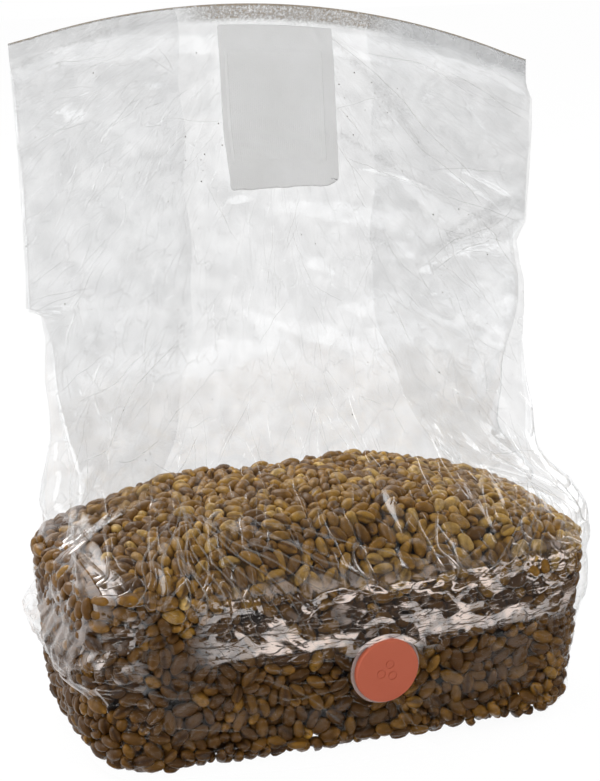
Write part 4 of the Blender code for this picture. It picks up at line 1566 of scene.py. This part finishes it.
# %% [markdown]
# ## Something for the film to mirror
# Clear film shows by what it mirrors, and in an all-white room it vanishes. A photographer puts
# dark cards around and leaves gaps of white between. Here rings of cards and panels stand far out,
# in five shades from dark to bright, which only mirror-like surfaces see. The brightest is low in
# front and makes the pale band across the foot.

# %% Dark cards and pale panels
SHELL_RADIUS = 3.2
SHADES = {"d": 0.05, "g": 0.18, "b": 0.5, "w": 1.0, "h": 1.6}
PANELS = (
    (-89, -31, "dddddddddddddddd"),
    (-31, -16, "wwbbbgdhhhhhwddd"),
    (-16, -12, "wwbbbgdddddddddd"),
    (-12, 2, "wwbbbgdddddddddd"),
    (2, 12, "wwbbgdddbdgdbddg"),
    (12, 26, "wwgbdgdbbdgdbbdg"),
    (26, 44, "wgbbdddgbbdddbgd"),
    (44, 66, "wgdddddggddddgdd"),
    (66, 89, "dddddddddddddddd"),
)
shell_material = {}
for shade, level in SHADES.items():
    shell_material[shade], tree = new_material("studio_" + shade)
    glow = add_node(tree, "Emission", {"Color": (level, level, level), "Strength": 1.0})
    show(tree, glow.outputs[0])


def shell_band(number, lowest, highest, shades):
    """A ring of dark cards and pale panels, which only mirror-like surfaces see."""
    turns, rises = np.meshgrid(
        np.radians(np.linspace(-125, 125, len(shades) + 1)), np.radians((lowest, highest))
    )
    x = np.sin(turns) * np.cos(rises)
    y = -np.cos(turns) * np.cos(rises)
    grid = np.stack([x, y, np.sin(rises)], axis=-1) * SHELL_RADIUS
    band = new_piece(f"studio_band_{number}", grid.reshape(-1, 3), grid_faces(*x.shape), False)
    for material in shell_material.values():
        band.data.materials.append(material)
    index = [list(SHADES).index(shade) for shade in shades]
    band.data.polygons.foreach_set("material_index", index)
    for ray in ("camera", "diffuse", "transmission", "shadow"):
        setattr(band, "visible_" + ray, False)


for number, (lowest, highest, shades) in enumerate(PANELS):
    shell_band(number, lowest, highest, shades)
print("rings of cards:", len(PANELS))

# %% [markdown]
# ## Soft boxes
# Four soft boxes model the kernels and the port: one at each side, one high in front, and the
# strongest behind, which lights the top of the brick through the film. The front one isn't
# mirrored, since it would burn white spots into the head.

# %% Soft boxes
LAMPS_AIM_AT = Vector((0.0, 0.0, 0.12))


def soft_box(name, location, size, watts, mirrored=True):
    lamp = bpy.data.lights.new(name, "AREA")
    lamp.shape = "RECTANGLE"
    lamp.size, lamp.size_y = size
    lamp.energy = watts
    obj = bpy.data.objects.new(name, lamp)
    bpy.context.scene.collection.objects.link(obj)
    obj.location = location
    direction = LAMPS_AIM_AT - Vector(location)
    obj.rotation_euler = direction.to_track_quat("-Z", "Y").to_euler()
    obj.visible_glossy = mirrored
    print(name, watts, "W")


soft_box("box_left", (-1.2, -0.35, 0.75), (0.8, 1.1), 5.6)
soft_box("box_front", (0.27, -0.55, 1.27), (0.62, 0.4), 3.6, False)
soft_box("box_right", (1.2, 0.25, 0.7), (0.6, 0.9), 4.5)
soft_box("box_behind", (-0.35, 0.85, 1.15), (1.0, 0.7), 13.0)

# %% [markdown]
# ## The camera
# The real photo was taken from a little left of the front and slightly above, with a long lens.
# The camera stands the same way, so the render can be compared with it side by side.

# %% Camera
CAMERA_DISTANCE = 0.8
CAMERA_TURN = math.radians(-20.5)
CAMERA_RISE = math.radians(15.3)
CAMERA_TARGET = Vector((-0.0033, 0.0013, 0.1301))
camera_data = bpy.data.cameras.new("camera")
camera_data.lens = 95.6
camera_data.sensor_width = 36.0
camera = bpy.data.objects.new("camera", camera_data)
bpy.context.scene.collection.objects.link(camera)
away = Vector(
    (
        math.sin(CAMERA_TURN) * math.cos(CAMERA_RISE),
        -math.cos(CAMERA_TURN) * math.cos(CAMERA_RISE),
        math.sin(CAMERA_RISE),
    )
)
camera.location = CAMERA_TARGET + away * CAMERA_DISTANCE
camera.rotation_euler = away.to_track_quat("Z", "Y").to_euler()
bpy.context.scene.camera = camera

bpy.context.scene.view_settings.view_transform = "Standard"
